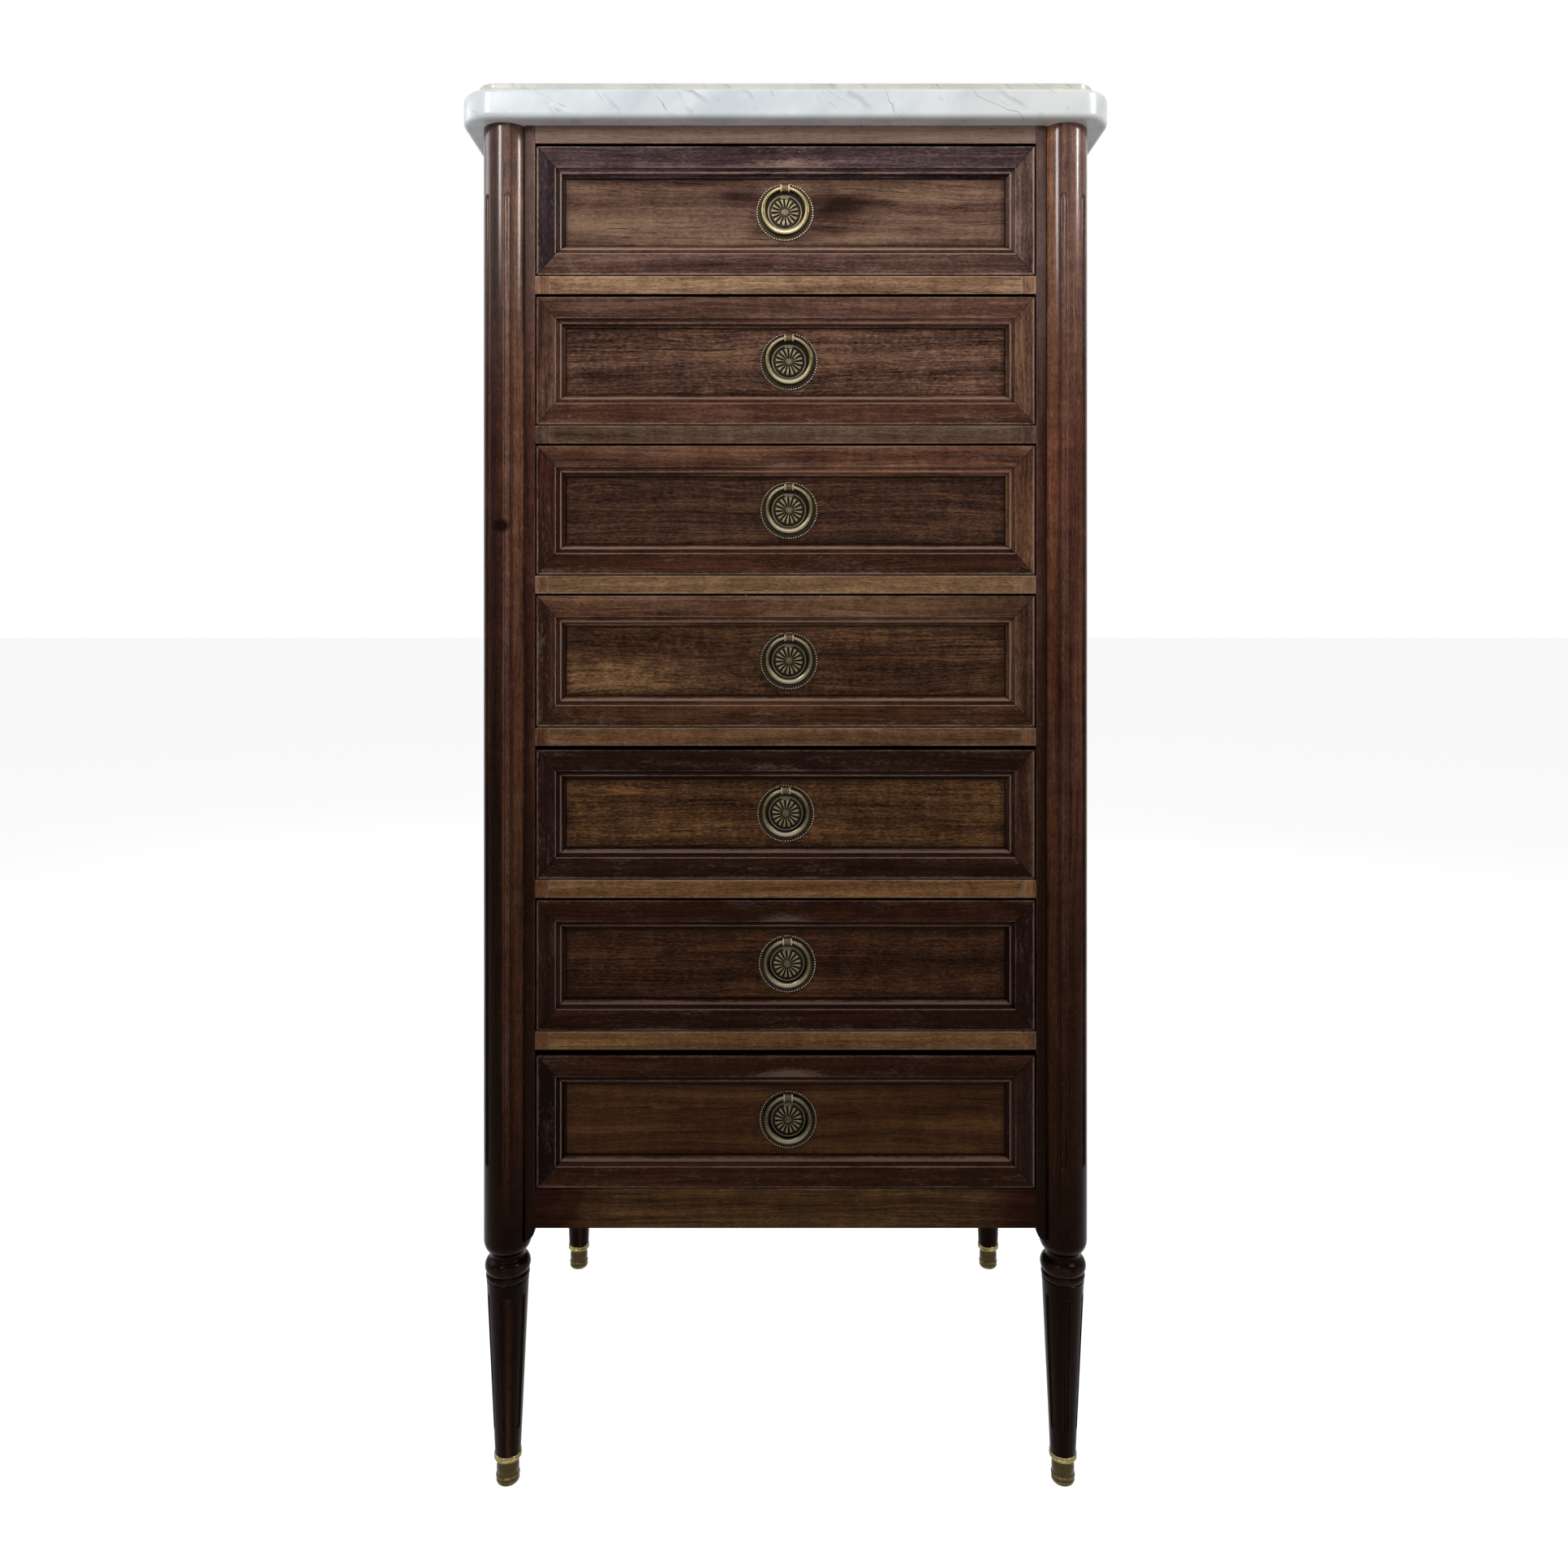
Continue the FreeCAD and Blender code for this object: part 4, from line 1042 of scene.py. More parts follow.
@dataclass
class Sabot:
    """The brass cup that shoes one foot: a rolled rim, a waisted body and a rounded base."""

    side: Side
    front: bool
    axis: Pair

    radius: ClassVar[float] = 12.4
    bore: ClassVar[Pair] = (8.7, 6.2)  # radius and lowest level
    # Share of the height, share of the radius, bulge of the stretch that follows
    shape: ClassVar[tuple[Point, ...]] = (
        (0.000, 0.640, 0.00), (0.015, 0.700, 0.22), (0.150, 0.850, 0.00), (0.175, 0.815, 0.00),
        (0.205, 0.815, 0.00), (0.230, 0.850, 0.25), (0.300, 0.845, 0.00), (0.330, 0.800, 0.05),
        (0.680, 0.800, -0.14), (0.800, 0.880, 0.00), (0.815, 0.930, 0.35), (0.900, 0.985, 0.00),
        (0.915, 0.950, 0.00), (0.930, 0.950, 0.00), (0.945, 0.990, 0.30), (1.000, 0.960, 0.00),
    )

    def build(self) -> None:
        """Makes the cup."""
        corners = [(self.radius * reach, SABOT_HEIGHT * rise, bulge) for rise, reach, bulge in self.shape]
        bore, floor = self.bore
        profile = bulged(corners, 5) + [(bore, SABOT_HEIGHT), (bore, floor), (0.4, floor)]
        turn = np.radians(np.arange(0, 360, 5.0))
        # The rim is handled most, then the lower swell
        wears = [0.35 if radius > 0.9 * self.radius else 0.05 if radius > 0.84 * self.radius else -0.2
                 for radius, _ in profile]
        draft = Draft(seed=3)
        draft.loft([circle(self.axis, *point, turn) for point in profile], wear=np.array(wears))
        node = f"{self.side.name.lower()}_{'front' if self.front else 'rear'}_sabot"
        draft.settle(f"{node}_turned", SABOT_BRASS, "carcass", "antique_brass", node, 50)


@dataclass
class FrontRails:
    """The frieze, the apron and the six rubbed rails between the drawers, with their end blocks."""

    block_width: float = 12.5
    joint: float = 0.25
    darkened: ClassVar[float] = 42.0  # how far an old rail's ends have darkened
    frieze_stain: Stain = (1.10, 1.22, 1.62)
    apron_stain: Stain = (0.60, 0.56, 0.31)
    rail_stains: tuple[Stain, ...] = (
        (1.13, 1.08, 1.06), (0.44, 0.44, 0.49), (0.90, 0.86, 0.72), (0.61, 0.52, 0.42), (0.69, 0.57, 0.40),
        (0.59, 0.49, 0.34),
    )

    @staticmethod
    def grime_and_shade(limits: Limits, dark_ends: float = 0.0) -> Paint:
        """Painted shade on a rail's underside, behind its front edge, and the rail's darkened ends.

        Args:
            limits: the rail's box.
            dark_ends: how far the rail has darkened towards its ends.

        Returns:
            What paints it.
        """

        def paint(points: np.ndarray) -> Arrays:
            """Painted shade where a point is low and behind the front edge; darker towards the darkened
            ends too.
            """
            under = (points[:, 2] < limits.low[2] + 0.1) & (points[:, 1] > limits.low[1] + 0.2)
            gap = (RAIL_HALF - np.abs(points[:, 0])) / FrontRails.darkened
            ends = dark_ends * np.exp(-np.maximum(gap + 0.4 * ragged(points, 16, 9) - 0.25, 0) ** 2)
            tint = np.where(under, 0.3, 1.0)[:, None] * (1.0 - ends[:, None] * (0.76, 0.90, 0.84))
            return tint, np.where(under, -0.8, 0.0)

        return paint

    def build(self) -> None:
        """Makes the eight rails."""
        for node, finish, stain, dark_ends in (
            ("top_front_rail", FRIEZE, self.frieze_stain, 0.0),
            ("bottom_front_rail", APRON, self.apron_stain, 1.0),
        ):
            limits = Limits.of(node)
            draft = Draft(seed=len(node))
            draft.block(*limits.between(-RAIL_HALF, RAIL_HALF), 0.4, cell=8.0, stain=stain,
                        edge_wear=0.3, paint=self.grime_and_shade(limits, dark_ends))
            draft.settle(f"{node}_board", finish, "carcass", "mahogany", node)
        edge = RAIL_HALF - self.block_width
        for k, stain in enumerate(self.rail_stains, start=1):
            node = f"divider_rail_{k}"
            limits = Limits.of(node)
            draft = Draft(seed=20 + k)
            pinker = tuple(np.multiply(stain, (0.86, 0.78, 0.84)))
            for low_x, high_x, look in (
                (-edge, edge, {"cell": 14.0, "stain": stain}),
                (-RAIL_HALF, -edge - self.joint, {"stain": pinker, "grain": Grain.Z}),
                (edge + self.joint, RAIL_HALF, {"stain": pinker, "grain": Grain.Z}),
            ):
                draft.block(*limits.between(low_x, high_x), 0.5, paint=self.grime_and_shade(limits), **look)
            draft.settle(f"{node}_board", RAIL, "carcass", "worn_rail_wood", node)


@dataclass
class CarcassFrame:
    """The framed sides and back of the chest."""

    planks: int = 5
    joint: float = 0.15  # half the gap between two planks
    side_rail_height: float = 60.0
    rear_rail_height: float = 45.0
    rear_rail_half: float = 233.9

    @staticmethod
    def pair(draft: Draft, limits: Limits, low: Sequence[float], high: Sequence[float], height: float,
             grain: Grain) -> None:
        """Adds a lower and an upper rail of one height, between two places in X and Y."""
        foot, head = limits.low[2], limits.high[2]
        for start, end in ((foot, foot + height), (head - height, head)):
            draft.block((*low, start), (*high, end), 1.0, grain=grain)

    def build_side(self, side: Side) -> None:
        """Makes one side's two rails and its panel.

        Args:
            side: left or right.
        """
        name = side.name.lower()
        rails, panel = Limits.of(f"{name}_side_rails"), Limits.of(f"{name}_side_panel")
        draft = Draft(seed=31 + side.value)
        self.pair(draft, rails, (rails.low[0], FRONT_STOCK_BACK), (rails.high[0], REAR_STOCK_FRONT),
                  self.side_rail_height, Grain.Y)
        draft.settle(f"{name}_side_rails_boards", SIDES, "carcass", "mahogany", f"{name}_side_rails")
        draft = Draft(seed=35 + side.value)
        draft.block(panel.low, panel.high, 0.4, cell=30.0, grain=Grain.Z, edge_wear=0.0)
        draft.settle(f"{name}_side_panel_board", SIDES, "carcass", "mahogany", f"{name}_side_panel")

    def build_back(self) -> None:
        """Makes the rear rails and the back, boarded from top to bottom."""
        rails, limits = Limits.of("rear_rails"), Limits.of("back_panel")
        draft = Draft(seed=41)
        self.pair(draft, rails, (-self.rear_rail_half, rails.low[1]), (self.rear_rail_half, rails.high[1]),
                  self.rear_rail_height, Grain.X)
        draft.settle("rear_rails_boards", OAK, "carcass", "interior_wood", "rear_rails")
        draft = Draft(seed=42)
        edges = np.linspace(limits.low[0], limits.high[0], self.planks + 1)
        for left, right in zip(edges, edges[1:]):
            draft.block(*limits.between(left + self.joint, right - self.joint), 1.1, grain=Grain.Z,
                        edge_wear=-0.4)
        draft.settle("back_planks", OAK, "carcass", "interior_wood", "back_panel")


# Drawers


@dataclass(frozen=True)
class DrawerLook:
    """What sets one drawer's wood apart; its tints also carry painted shade, darker from the top drawer
    down.

    The upper, lower, left, right and panel tints come first. Patches on the panel are given by their
    place from its middle, their reach and their strength. Scuff is the wear over the pull, rub is how
    pale the rubbed wood is, and drift is how many times paler the head member is at its right end.
    """

    upper: Stain
    lower: Stain
    left: Stain
    right: Stain
    panel: Stain
    patches: tuple[tuple[float, float, float, float, float], ...]
    scuff: float
    rub: float
    drift: float


@dataclass
class DrawerFront:
    """A mitred frame with its small moulding, the panel inside it and the board behind."""

    number: int
    look: DrawerLook

    flat_side: ClassVar[float] = 17.5
    flat_end: ClassVar[float] = 19.5
    moulding: ClassVar[float] = 8.3
    frame_thick: ClassVar[float] = 12.0
    mitre: ClassVar[Point] = (0.07, 0.55, 0.3)  # half its gap, and the width and depth that it is eased
    mitre_fade: ClassVar[float] = 14.0  # how far the dirt in a mitre spreads
    scuff_reach: ClassVar[float] = 26.0  # how far the hand at the pull rubs
    half_width: ClassVar[float] = 260.0  # what the drift of the head member counts by
    # Share of the flat, inset from there, depth behind the face, wear and shading
    profile: ClassVar[tuple[tuple[float, float, float, float], ...]] = (
        (0.0, 0.0, 12.0, -0.9), (0.0, 0.0, 2.2, -0.8), (0.0, 0.0, 0.8, 0.4), (0.0, 0.25, 0.25, 0.95),
        (0.0, 0.8, 0.0, 0.75), (0.0, 2.4, 0.0, 0.05), (0.5, 0.0, 0.0, 0.0), (1.0, -0.8, 0.0, 0.05),
        (1.0, -0.25, 0.0, 0.7), (1.0, 0.1, 0.12, 0.8), (1.0, 0.7, 0.9, -0.1), (1.0, 1.35, 1.85, -0.35),
        (1.0, 2.0, 2.2, -0.35), (1.0, 3.0, 2.2, -0.2), (1.0, 3.8, 1.95, 0.2), (1.0, 4.15, 1.75, 0.9),
        (1.0, 4.6, 1.7, 1.0), (1.0, 5.0, 1.9, 0.9), (1.0, 5.5, 2.75, 0.1), (1.0, 6.2, 3.9, -0.2),
        (1.0, 6.8, 4.9, -0.3), (1.0, 7.2, 5.1, -0.1), (1.0, 7.9, 5.15, 0.0), (1.0, 8.25, 5.5, -0.5),
        (1.0, 8.3, 6.7, -1.0), (1.0, 8.3, 12.0, -0.5),
    )
    # How pale each member's outer edge, the arris of its flat and its bead are: rubbed wear, and painted
    # light that makes the lower member paler and the upper member darker
    edge_wear_and_light: ClassVar[dict[str, Point]] = {
        "upper": (0.4, 0.6, 0.6),
        "lower": (0.75, 1.0, 1.0),
        "left": (0.8, 0.9, 1.0),
        "right": (1.0, 0.6, 1.0),
    }

    def runs(self, limits: Limits, kind: str) -> Arrays:
        """Where each line of a member's profile starts and ends, at the mitres.

        Args:
            limits: the front's box.
            kind: upper, lower, left or right.

        Returns:
            The starts and the ends, as rows.
        """
        shares, insets, depths, _ = np.array(self.profile).T
        side, end = shares * self.flat_side + insets, shares * self.flat_end + insets
        left, right = limits.low[0] + side, limits.high[0] - side
        foot, head = limits.low[2] + end, limits.high[2] - end
        y = limits.low[1] + depths
        start_x, start_z, end_x, end_z = {
            "upper": (left, head, right, head), "lower": (left, foot, right, foot),
            "left": (left, foot, left, head), "right": (right, foot, right, head),
        }[kind]
        return np.stack([start_x, y, start_z], axis=-1), np.stack([end_x, y, end_z], axis=-1)

    def member(self, draft: Draft, limits: Limits, kind: str, pull_x: float) -> None:
        """Adds one mitred member of the frame.

        Args:
            draft: gets the shell.
            limits: the front's box.
            kind: upper, lower, left or right.
            pull_x: where the pull is, over which the polish is scuffed.
        """
        flat, upper = kind in ("upper", "lower"), kind == "upper"
        shares, insets, depths, wears = np.array(self.profile).T
        starts, ends = self.runs(limits, kind)
        way = ends - starts
        unit = way / np.linalg.norm(way, axis=1, keepdims=True)
        gap, eased, sunk = self.mitre
        stations = [starts + unit * gap, starts + unit * eased]
        stations += [starts + way * share for share in np.linspace(0, 1, 70 if flat else 14)[1:-1]]
        stations += [ends - unit * eased, ends - unit * gap]
        sections = np.array(stations)
        for row in (0, -1):
            sections[row, depths < self.frame_thick, 1] += sunk
        outer, arris, bead = self.edge_wear_and_light[kind]
        factor = np.where(shares < 0.5, outer, np.where(insets < 2, arris, bead))
        wears = np.where(wears > 0.2, wears * factor, wears)
        # Painted light: the lower member's moulding slope, which faces up, is made paler
        if kind == "lower":
            wears = np.where((shares == 1) & (insets > 5.2) & (insets < 7), wears + 0.65, wears)
        worn = np.tile(wears, (len(sections), 1))
        worn[[0, -1]] = -0.6
        from_mitre = np.minimum(*(np.linalg.norm(sections - tips, axis=2) for tips in (starts, ends)))
        tint = 1.0 - 0.18 * np.exp(-from_mitre / self.mitre_fade)
        if upper:
            near = np.exp(-(((sections[..., 0] - pull_x) / self.scuff_reach) ** 2))
            share = np.where(shares < 1, 0.1, np.where(insets < 0.5, 0.9, 0.3))
            worn = worn + self.look.scuff * near * share
            tint = tint * self.look.drift ** (sections[..., 0] / self.half_width)
        stains = np.asarray(getattr(self.look, kind)) * tint[..., None]
        draft.loft(sections, grain=Grain.X if flat else Grain.Z, stain=stains.reshape(-1, 3),
                   wear=np.clip(worn, -1, 1), rub=self.look.rub * (0.85 if upper else 1.0))

    def build(self, body: str, pull_x: float) -> None:
        """Makes the frame and the panel.

        Args:
            body: the drawer's body.
            pull_x: where the pull is.
        """
        name, look = f"drawer_{self.number}", self.look
        limits = Limits.of(f"{name}_front")
        draft = Draft(seed=50 + self.number)
        for kind in ("upper", "lower", "left", "right"):
            self.member(draft, limits, kind, pull_x)
        draft.settle(f"{name}_frame", FRAMES, body, "mahogany", f"{name}_front", 28)
        front, middle = limits.low[1], (limits.low[2] + limits.high[2]) / 2
        side, end = self.flat_side + self.moulding, self.flat_end + self.moulding
        low = np.array((limits.low[0] + side, PANEL_Y, limits.low[2] + end))
        high = np.array((limits.high[0] - side, front + self.frame_thick + 0.2, limits.high[2] - end))

        def paint(points: np.ndarray) -> Arrays:
            """Darker and lighter patches of the panel, and grime and painted shade along its edges."""
            tint = np.ones(len(points))
            # Patches have ragged edges, drawn out along the grain
            edges = 0.9 * ragged(points, 22, 7, self.number)
            for x, z, reach_x, reach_z, strength in look.patches:
                far = ((points[:, 0] - x) / reach_x) ** 2 + ((points[:, 2] - middle - z) / reach_z) ** 2
                tint = tint + strength * np.exp(-np.maximum(far + edges, 0) ** 1.5)
            gaps = np.minimum(points - low, high - points)[:, (0, 2)].min(axis=1)
            # A darker patch is redder too
            reddened = np.maximum(tint, 0.05)[:, None] ** np.array([0.88, 1.0, 0.92])
            # Along its edges, beside the moulding, the panel darkens with grime and painted shade
            return reddened, -0.9 * np.exp(-np.maximum(gaps, 0) / 2.0)

        draft = Draft(seed=70 + self.number)
        draft.block(low, high, 0.3, cell=4.0, edge_wear=0.0, paint=paint, stain=look.panel)
        draft.block((limits.low[0], front + self.frame_thick + 0.1, limits.low[2]), limits.high, 0.8,
                    stain=look.lower)
        finish = PANELS if self.number in (1, 7) else BOLD_PANELS
        draft.settle(f"{name}_panel", finish, body, "mahogany", f"{name}_front")


@dataclass
class DrawerBox:
    """The oak box behind a front: sides dovetailed to the back and lapped into the front."""

    number: int
    tails: int = 3
    thick: float = 10.0
    back_lift: float = 14.0
    lap: float = 6.5
    pin_half: float = 3.2
    pin_flare: float = 1.3
    gap: float = 0.15
    inlet: float = 0.05  # how far a pin or tail starts inside the board that it is cut from
    tail_share: Pair = (0.27, 0.38)  # half a lapped tail's width at its root and tip, of the pitch
    tail_inset: float = 0.12

    def build(self, body: str) -> None:
        """Makes the sides, the back and their dovetails.

        Args:
            body: the drawer's body.
        """
        node = f"drawer_{self.number}_box"
        limits = Limits.of(node)
        left, start, foot = limits.low
        right, back, head = limits.high
        rear, ends = back - self.thick, back - 0.1
        pitch = (head - foot) / self.tails
        pins = [foot + pitch * (i + 1) for i in range(self.tails - 1)]
        draft = Draft(seed=90 + self.number)
        for side in (-1, 1):
            outer, inner = side * right, side * (right - self.thick)
            low_x, high_x = sorted((outer, inner))
            outline = [(start, foot), (ends, foot)]
            for middle in pins:
                half, wide = self.pin_half, self.pin_half + self.pin_flare
                outline += [(ends, middle - wide), (rear, middle - half), (rear, middle + half),
                            (ends, middle + wide)]
            draft.prism([*outline, (ends, head), (start, head)], 0, low_x, high_x, grain=Grain.Y, wear=0.1)
            for middle in pins:
                half, wide = self.pin_half - self.gap, self.pin_half + self.pin_flare - self.gap
                pin = [(rear + self.inlet, middle - half), (back, middle - wide), (back, middle + wide),
                       (rear + self.inlet, middle + half)]
                draft.prism(pin, 0, low_x + self.inlet, high_x - self.inlet, stain=(0.72, 0.68, 0.62))
            lap_low, lap_high = sorted((outer + side * self.tail_inset, inner))
            for i in range(self.tails):
                middle, (half, wide) = foot + pitch * (i + 0.5), (pitch * v for v in self.tail_share)
                tail = [(start + self.inlet, middle - half), (start - self.lap, middle - wide),
                        (start - self.lap, middle + wide), (start + self.inlet, middle + half)]
                draft.prism(tail, 0, lap_low, lap_high, grain=Grain.Y)
        draft.block((left + self.thick + 0.1, rear, foot + self.back_lift),
                    (right - self.thick - 0.1, back, head), 0.8)
        draft.settle(f"{node}_boards", OAK, body, "interior_wood", node)


# Pulls


def ring_of_copies() -> bpy.types.NodeTree:
    """Makes the geometry nodes that set copies of a piece in a ring, such as beads or petals.

    Returns:
        The tree, with its inputs named as below.
    """
    tree = bpy.data.node_groups.new("ring_of_copies", "GeometryNodeTree")
    for name, kind in (
        ("Geometry", "Geometry"),
        ("Count", "Int"),
        ("Ring Radius", "Float"),
        ("First Angle", "Float"),
        ("Size Spread", "Float"),
        ("Seed", "Int"),
        ("Material", "Material"),
    ):
        tree.interface.new_socket(name, in_out="INPUT", socket_type=f"NodeSocket{kind}")
    tree.interface.new_socket("Geometry", in_out="OUTPUT", socket_type="NodeSocketGeometry")
    nodes = Nodes(tree)
    given = add_node(tree, "NodeGroupInput").outputs
    ring = nodes.add("GeometryNodeMeshCircle", {"Vertices": given["Count"], "Radius": given["Ring Radius"]})
    step = nodes.math("DIVIDE", 2 * math.pi, given["Count"])
    angle = nodes.math("MULTIPLY_ADD", nodes.add("GeometryNodeInputIndex"), step, given["First Angle"])
    turned = {"X": nodes.math("COSINE", angle), "Y": nodes.math("SINE", angle)}
    scaled = {0: nodes.add("ShaderNodeCombineXYZ", turned), "Scale": given["Ring Radius"]}
    place = nodes.add("ShaderNodeVectorMath", scaled, operation="SCALE")
    upright = nodes.add("ShaderNodeCombineXYZ", {"Z": angle})
    rotation = nodes.add("FunctionNodeEulerToRotation", {0: upright})
    least = nodes.math("SUBTRACT", 1.0, given["Size Spread"])
    most = nodes.math("ADD", 1.0, given["Size Spread"])
    # Sockets 2 and 3 and output 1 are the ones for plain numbers
    sizes = {2: least, 3: most, "Seed": given["Seed"]}
    copies = nodes.add("GeometryNodeInstanceOnPoints", {
        "Points": nodes.add("GeometryNodeSetPosition", {"Geometry": ring, "Position": place}),
        "Instance": given["Geometry"],
        "Rotation": rotation,
        "Scale": nodes.add("FunctionNodeRandomValue", sizes, 1, data_type="FLOAT"),
    })
    real = nodes.add("GeometryNodeRealizeInstances", {0: copies})
    dressed = nodes.add("GeometryNodeSetMaterial", {"Geometry": real, "Material": given["Material"]})
    nodes.add("NodeGroupOutput", {0: dressed})
    return tree


def grown(seed_piece: bpy.types.Object, tree: bpy.types.NodeTree,
          values: dict[str, object]) -> bpy.types.Mesh:
    """Runs a geometry node tree on an object and gives the plain mesh.

    Args:
        seed_piece: the object whose mesh the tree starts from; it is removed.
        tree: the geometry nodes.
        values: the tree's inputs by name.

    Returns:
        The new mesh.
    """
    modifier = seed_piece.modifiers.new("grow", "NODES")
    modifier.node_group = tree
    for item in tree.interface.items_tree:
        if item.in_out == "INPUT" and item.name in values:
            modifier[item.identifier] = values[item.name]
    bpy.context.view_layer.update()
    graph = bpy.context.evaluated_depsgraph_get()
    mesh = bpy.data.meshes.new_from_object(seed_piece.evaluated_get(graph), depsgraph=graph)
    bpy.data.objects.remove(seed_piece)
    return mesh


@dataclass
class Pull:
    """One ring pull: a beaded plate with a flower in it, a staple, the nut inside and the ring."""

    number: int
    tarnish_and_shade: float

    radius: ClassVar[float] = 27.0
    ring_radius: ClassVar[float] = 20.4
    ring_depth: ClassVar[float] = 0.84  # of its width
    ring_section: ClassVar[Pair] = (2.1, 2.85)  # half width at the head and the foot
    stand_off: ClassVar[float] = 3.8
    lift: ClassVar[float] = 21.8
    # The nut inside, on the stud: its radius, start and end
    nut: ClassVar[Point] = (4.6, -16.5, -13.5)
    # The ledge on the plate under the staple, by its corners
    ledge: ClassVar[tuple[Point, Point]] = ((-4.0, 12.4, 1.0), (4.0, 15.0, 2.4))
    # How many copies stand in a ring, and the ring's radius
    beads: ClassVar[tuple[int, float]] = (68, 25.75)
    petals: ClassVar[tuple[int, float]] = (16, 9.0)
    # The plate from its rim to its boss: radius, height, wear
    plate: ClassVar[tuple[Point, ...]] = (
        (26.30, 0.00, -0.6), (26.45, 0.45, 0.1), (25.90, 0.80, -0.75), (25.00, 0.85, -0.7),
        (24.60, 1.25, -0.3), (24.20, 1.30, -0.5), (23.90, 1.20, -0.5), (23.20, 1.15, -0.5),
        (17.60, 1.15, -0.6), (16.60, 1.35, -0.6), (15.90, 1.80, 0.0), (15.40, 1.95, 0.3),
        (14.90, 1.80, 0.1), (14.50, 1.35, -0.6), (13.80, 1.25, -0.8), (13.30, 1.40, -0.6),
        (13.00, 1.55, -0.5), (9.00, 1.55, -0.9), (5.20, 1.70, -0.9), (4.60, 1.80, -0.6), (3.90, 1.90, -0.5),
        (3.40, 2.35, -0.3), (2.70, 2.62, 0.0), (1.60, 2.75, 0.1), (0.40, 2.78, 0.1),
    )
    stud: ClassVar[tuple[Point, ...]] = (
        (2.0, -18.4, 0.2), (1.2, -18.5, 0.2), (2.0, -17.9, 0.2), (2.0, 0.5, 0.0),
    )
    # A petal along its length: distance from the plate's middle, half width, height of its crest
    petal_stations: ClassVar[tuple[Point, ...]] = (
        (4.8, 0.5, 1.9), (6.4, 0.8, 2.4), (8.2, 1.15, 2.65), (10.2, 1.6, 2.7), (11.7, 1.85, 2.6),
        (12.5, 1.35, 2.3), (12.9, 0.5, 1.9),
    )
    # A petal across: share of the half width, share of the rise, wear
    petal_section: ClassVar[tuple[Point, ...]] = (
        (-1.0, 0.0, -1.0), (-0.8, 0.55, -0.5), (-0.5, 0.9, 0.7), (-0.2, 0.85, 0.6), (0.0, 0.75, 0.2),
        (0.2, 0.85, 0.6), (0.5, 0.9, 0.7), (0.8, 0.55, -0.5), (1.0, 0.0, -1.0),
    )
    # The barrel's radius along its length, with a collar at each end
    barrel: ClassVar[tuple[Pair, ...]] = (
        (-4.55, 3.9), (-4.35, 4.3), (-3.0, 4.3), (-2.7, 3.7), (-1.5, 3.65), (0.0, 3.65), (1.5, 3.65),
        (2.7, 3.7), (3.0, 4.3), (4.35, 4.3), (4.55, 3.9),
    )
    barrel_bore: ClassVar[Pair] = (2.5, 4.5)  # radius and half length

    def centre(self) -> Point:
        """The plate's centre on the drawer's panel."""
        limits = Limits.of(f"drawer_{self.number}_backplate")
        return (limits.low[0] + limits.high[0]) / 2, PANEL_Y, limits.low[2] + self.radius

    def place(self) -> Matrix:
        """Turns a piece that lies on the table to stand on the drawer's panel."""
        return Matrix.Translation(Vector(self.centre())) @ Matrix.Rotation(math.radians(90), 4, "X")

    def tint(self, *factors: float) -> np.ndarray:
        """How dark the whole pull is, by tarnish and painted shade, times a factor for each channel."""
        return self.tarnish_and_shade * np.array((1.03, 1.04, 1.18)) * (factors or 1.0)

    def petal(self) -> bpy.types.Object:
        """One petal of the flower: a raised tongue, widest near its round tip.

        Returns:
            The object to copy.
        """
        sections, base = [], 1.4
        for reach, half, top in self.petal_stations:
            x = reach - self.petals[1]
            row = [(x, half * share, base + (top - base) * rise) for share, rise, _ in self.petal_section]
            sections.append([*row, (x, half, base - 0.1), (x, -half, base - 0.1)])
        wear = [*(worn for *_, worn in self.petal_section), -1.0, -1.0]
        draft = Draft(seed=5)
        stain = self.tint(0.76, 0.73, 0.60) * (1.0 + 0.6 * (0.85 - self.tarnish_and_shade))
        draft.loft(sections, wear=np.tile(wear, (len(sections), 1)), stain=stain)
        return draft.finish("petal_seed", PLATE_BRASS, 60)

    def bead(self) -> bpy.types.Object:
        """One bead of the rim.

        Returns:
            The object to copy.
        """
        ball = bmesh.new()
        bmesh.ops.create_icosphere(ball, subdivisions=2, radius=1.0)
        points = np.array([tuple(v.co) for v in ball.verts])
        points[:, 2] = points[:, 2] * 1.05 + 1.05
        faces = [[v.index for v in face.verts] for face in ball.faces]
        ball.free()
        draft = Draft(seed=6)
        wear = np.clip(points[:, 2] * 1.9 - 2.4, -1, 1)
        draft.add(points, faces, wear=wear, stain=self.tint(1.3, 1.2, 1.15))
        return draft.finish("bead_seed", PLATE_BRASS, 80)

    def staple(self, draft: Draft, place: Matrix) -> None:
        """Adds the barrel that the ring swings in, as a tube with a collar at each end.

        Args:
            draft: gets the shell.
            place: the staple's middle on the panel.
        """
        half_circle = [math.radians(a) for a in range(-90, 91, 10)]
        outer = [(math.sin(a), math.cos(a)) for a in half_circle]
        outer += [(1.0, -0.5), (1.0, -1.0), (-1.0, -1.0), (-1.0, -0.5)]
        bore, half = self.barrel_bore
        rows = [[(x, size * u, self.stand_off + max(size * w, -self.stand_off)) for u, w in outer]
                for x, size in self.barrel]
        rows += [[(x, bore * u / math.hypot(u, w), self.stand_off + bore * w / math.hypot(u, w))
                  for u, w in outer] for x in (half, -half)]
        wears = [1.0 if size > 4.0 else 0.0 for _, size in self.barrel] + [-1.0, -1.0]
        draft.loft(rows, wrap=True, wear=np.array(wears), place=place, stain=self.tint(1.4, 1.22, 1.05))

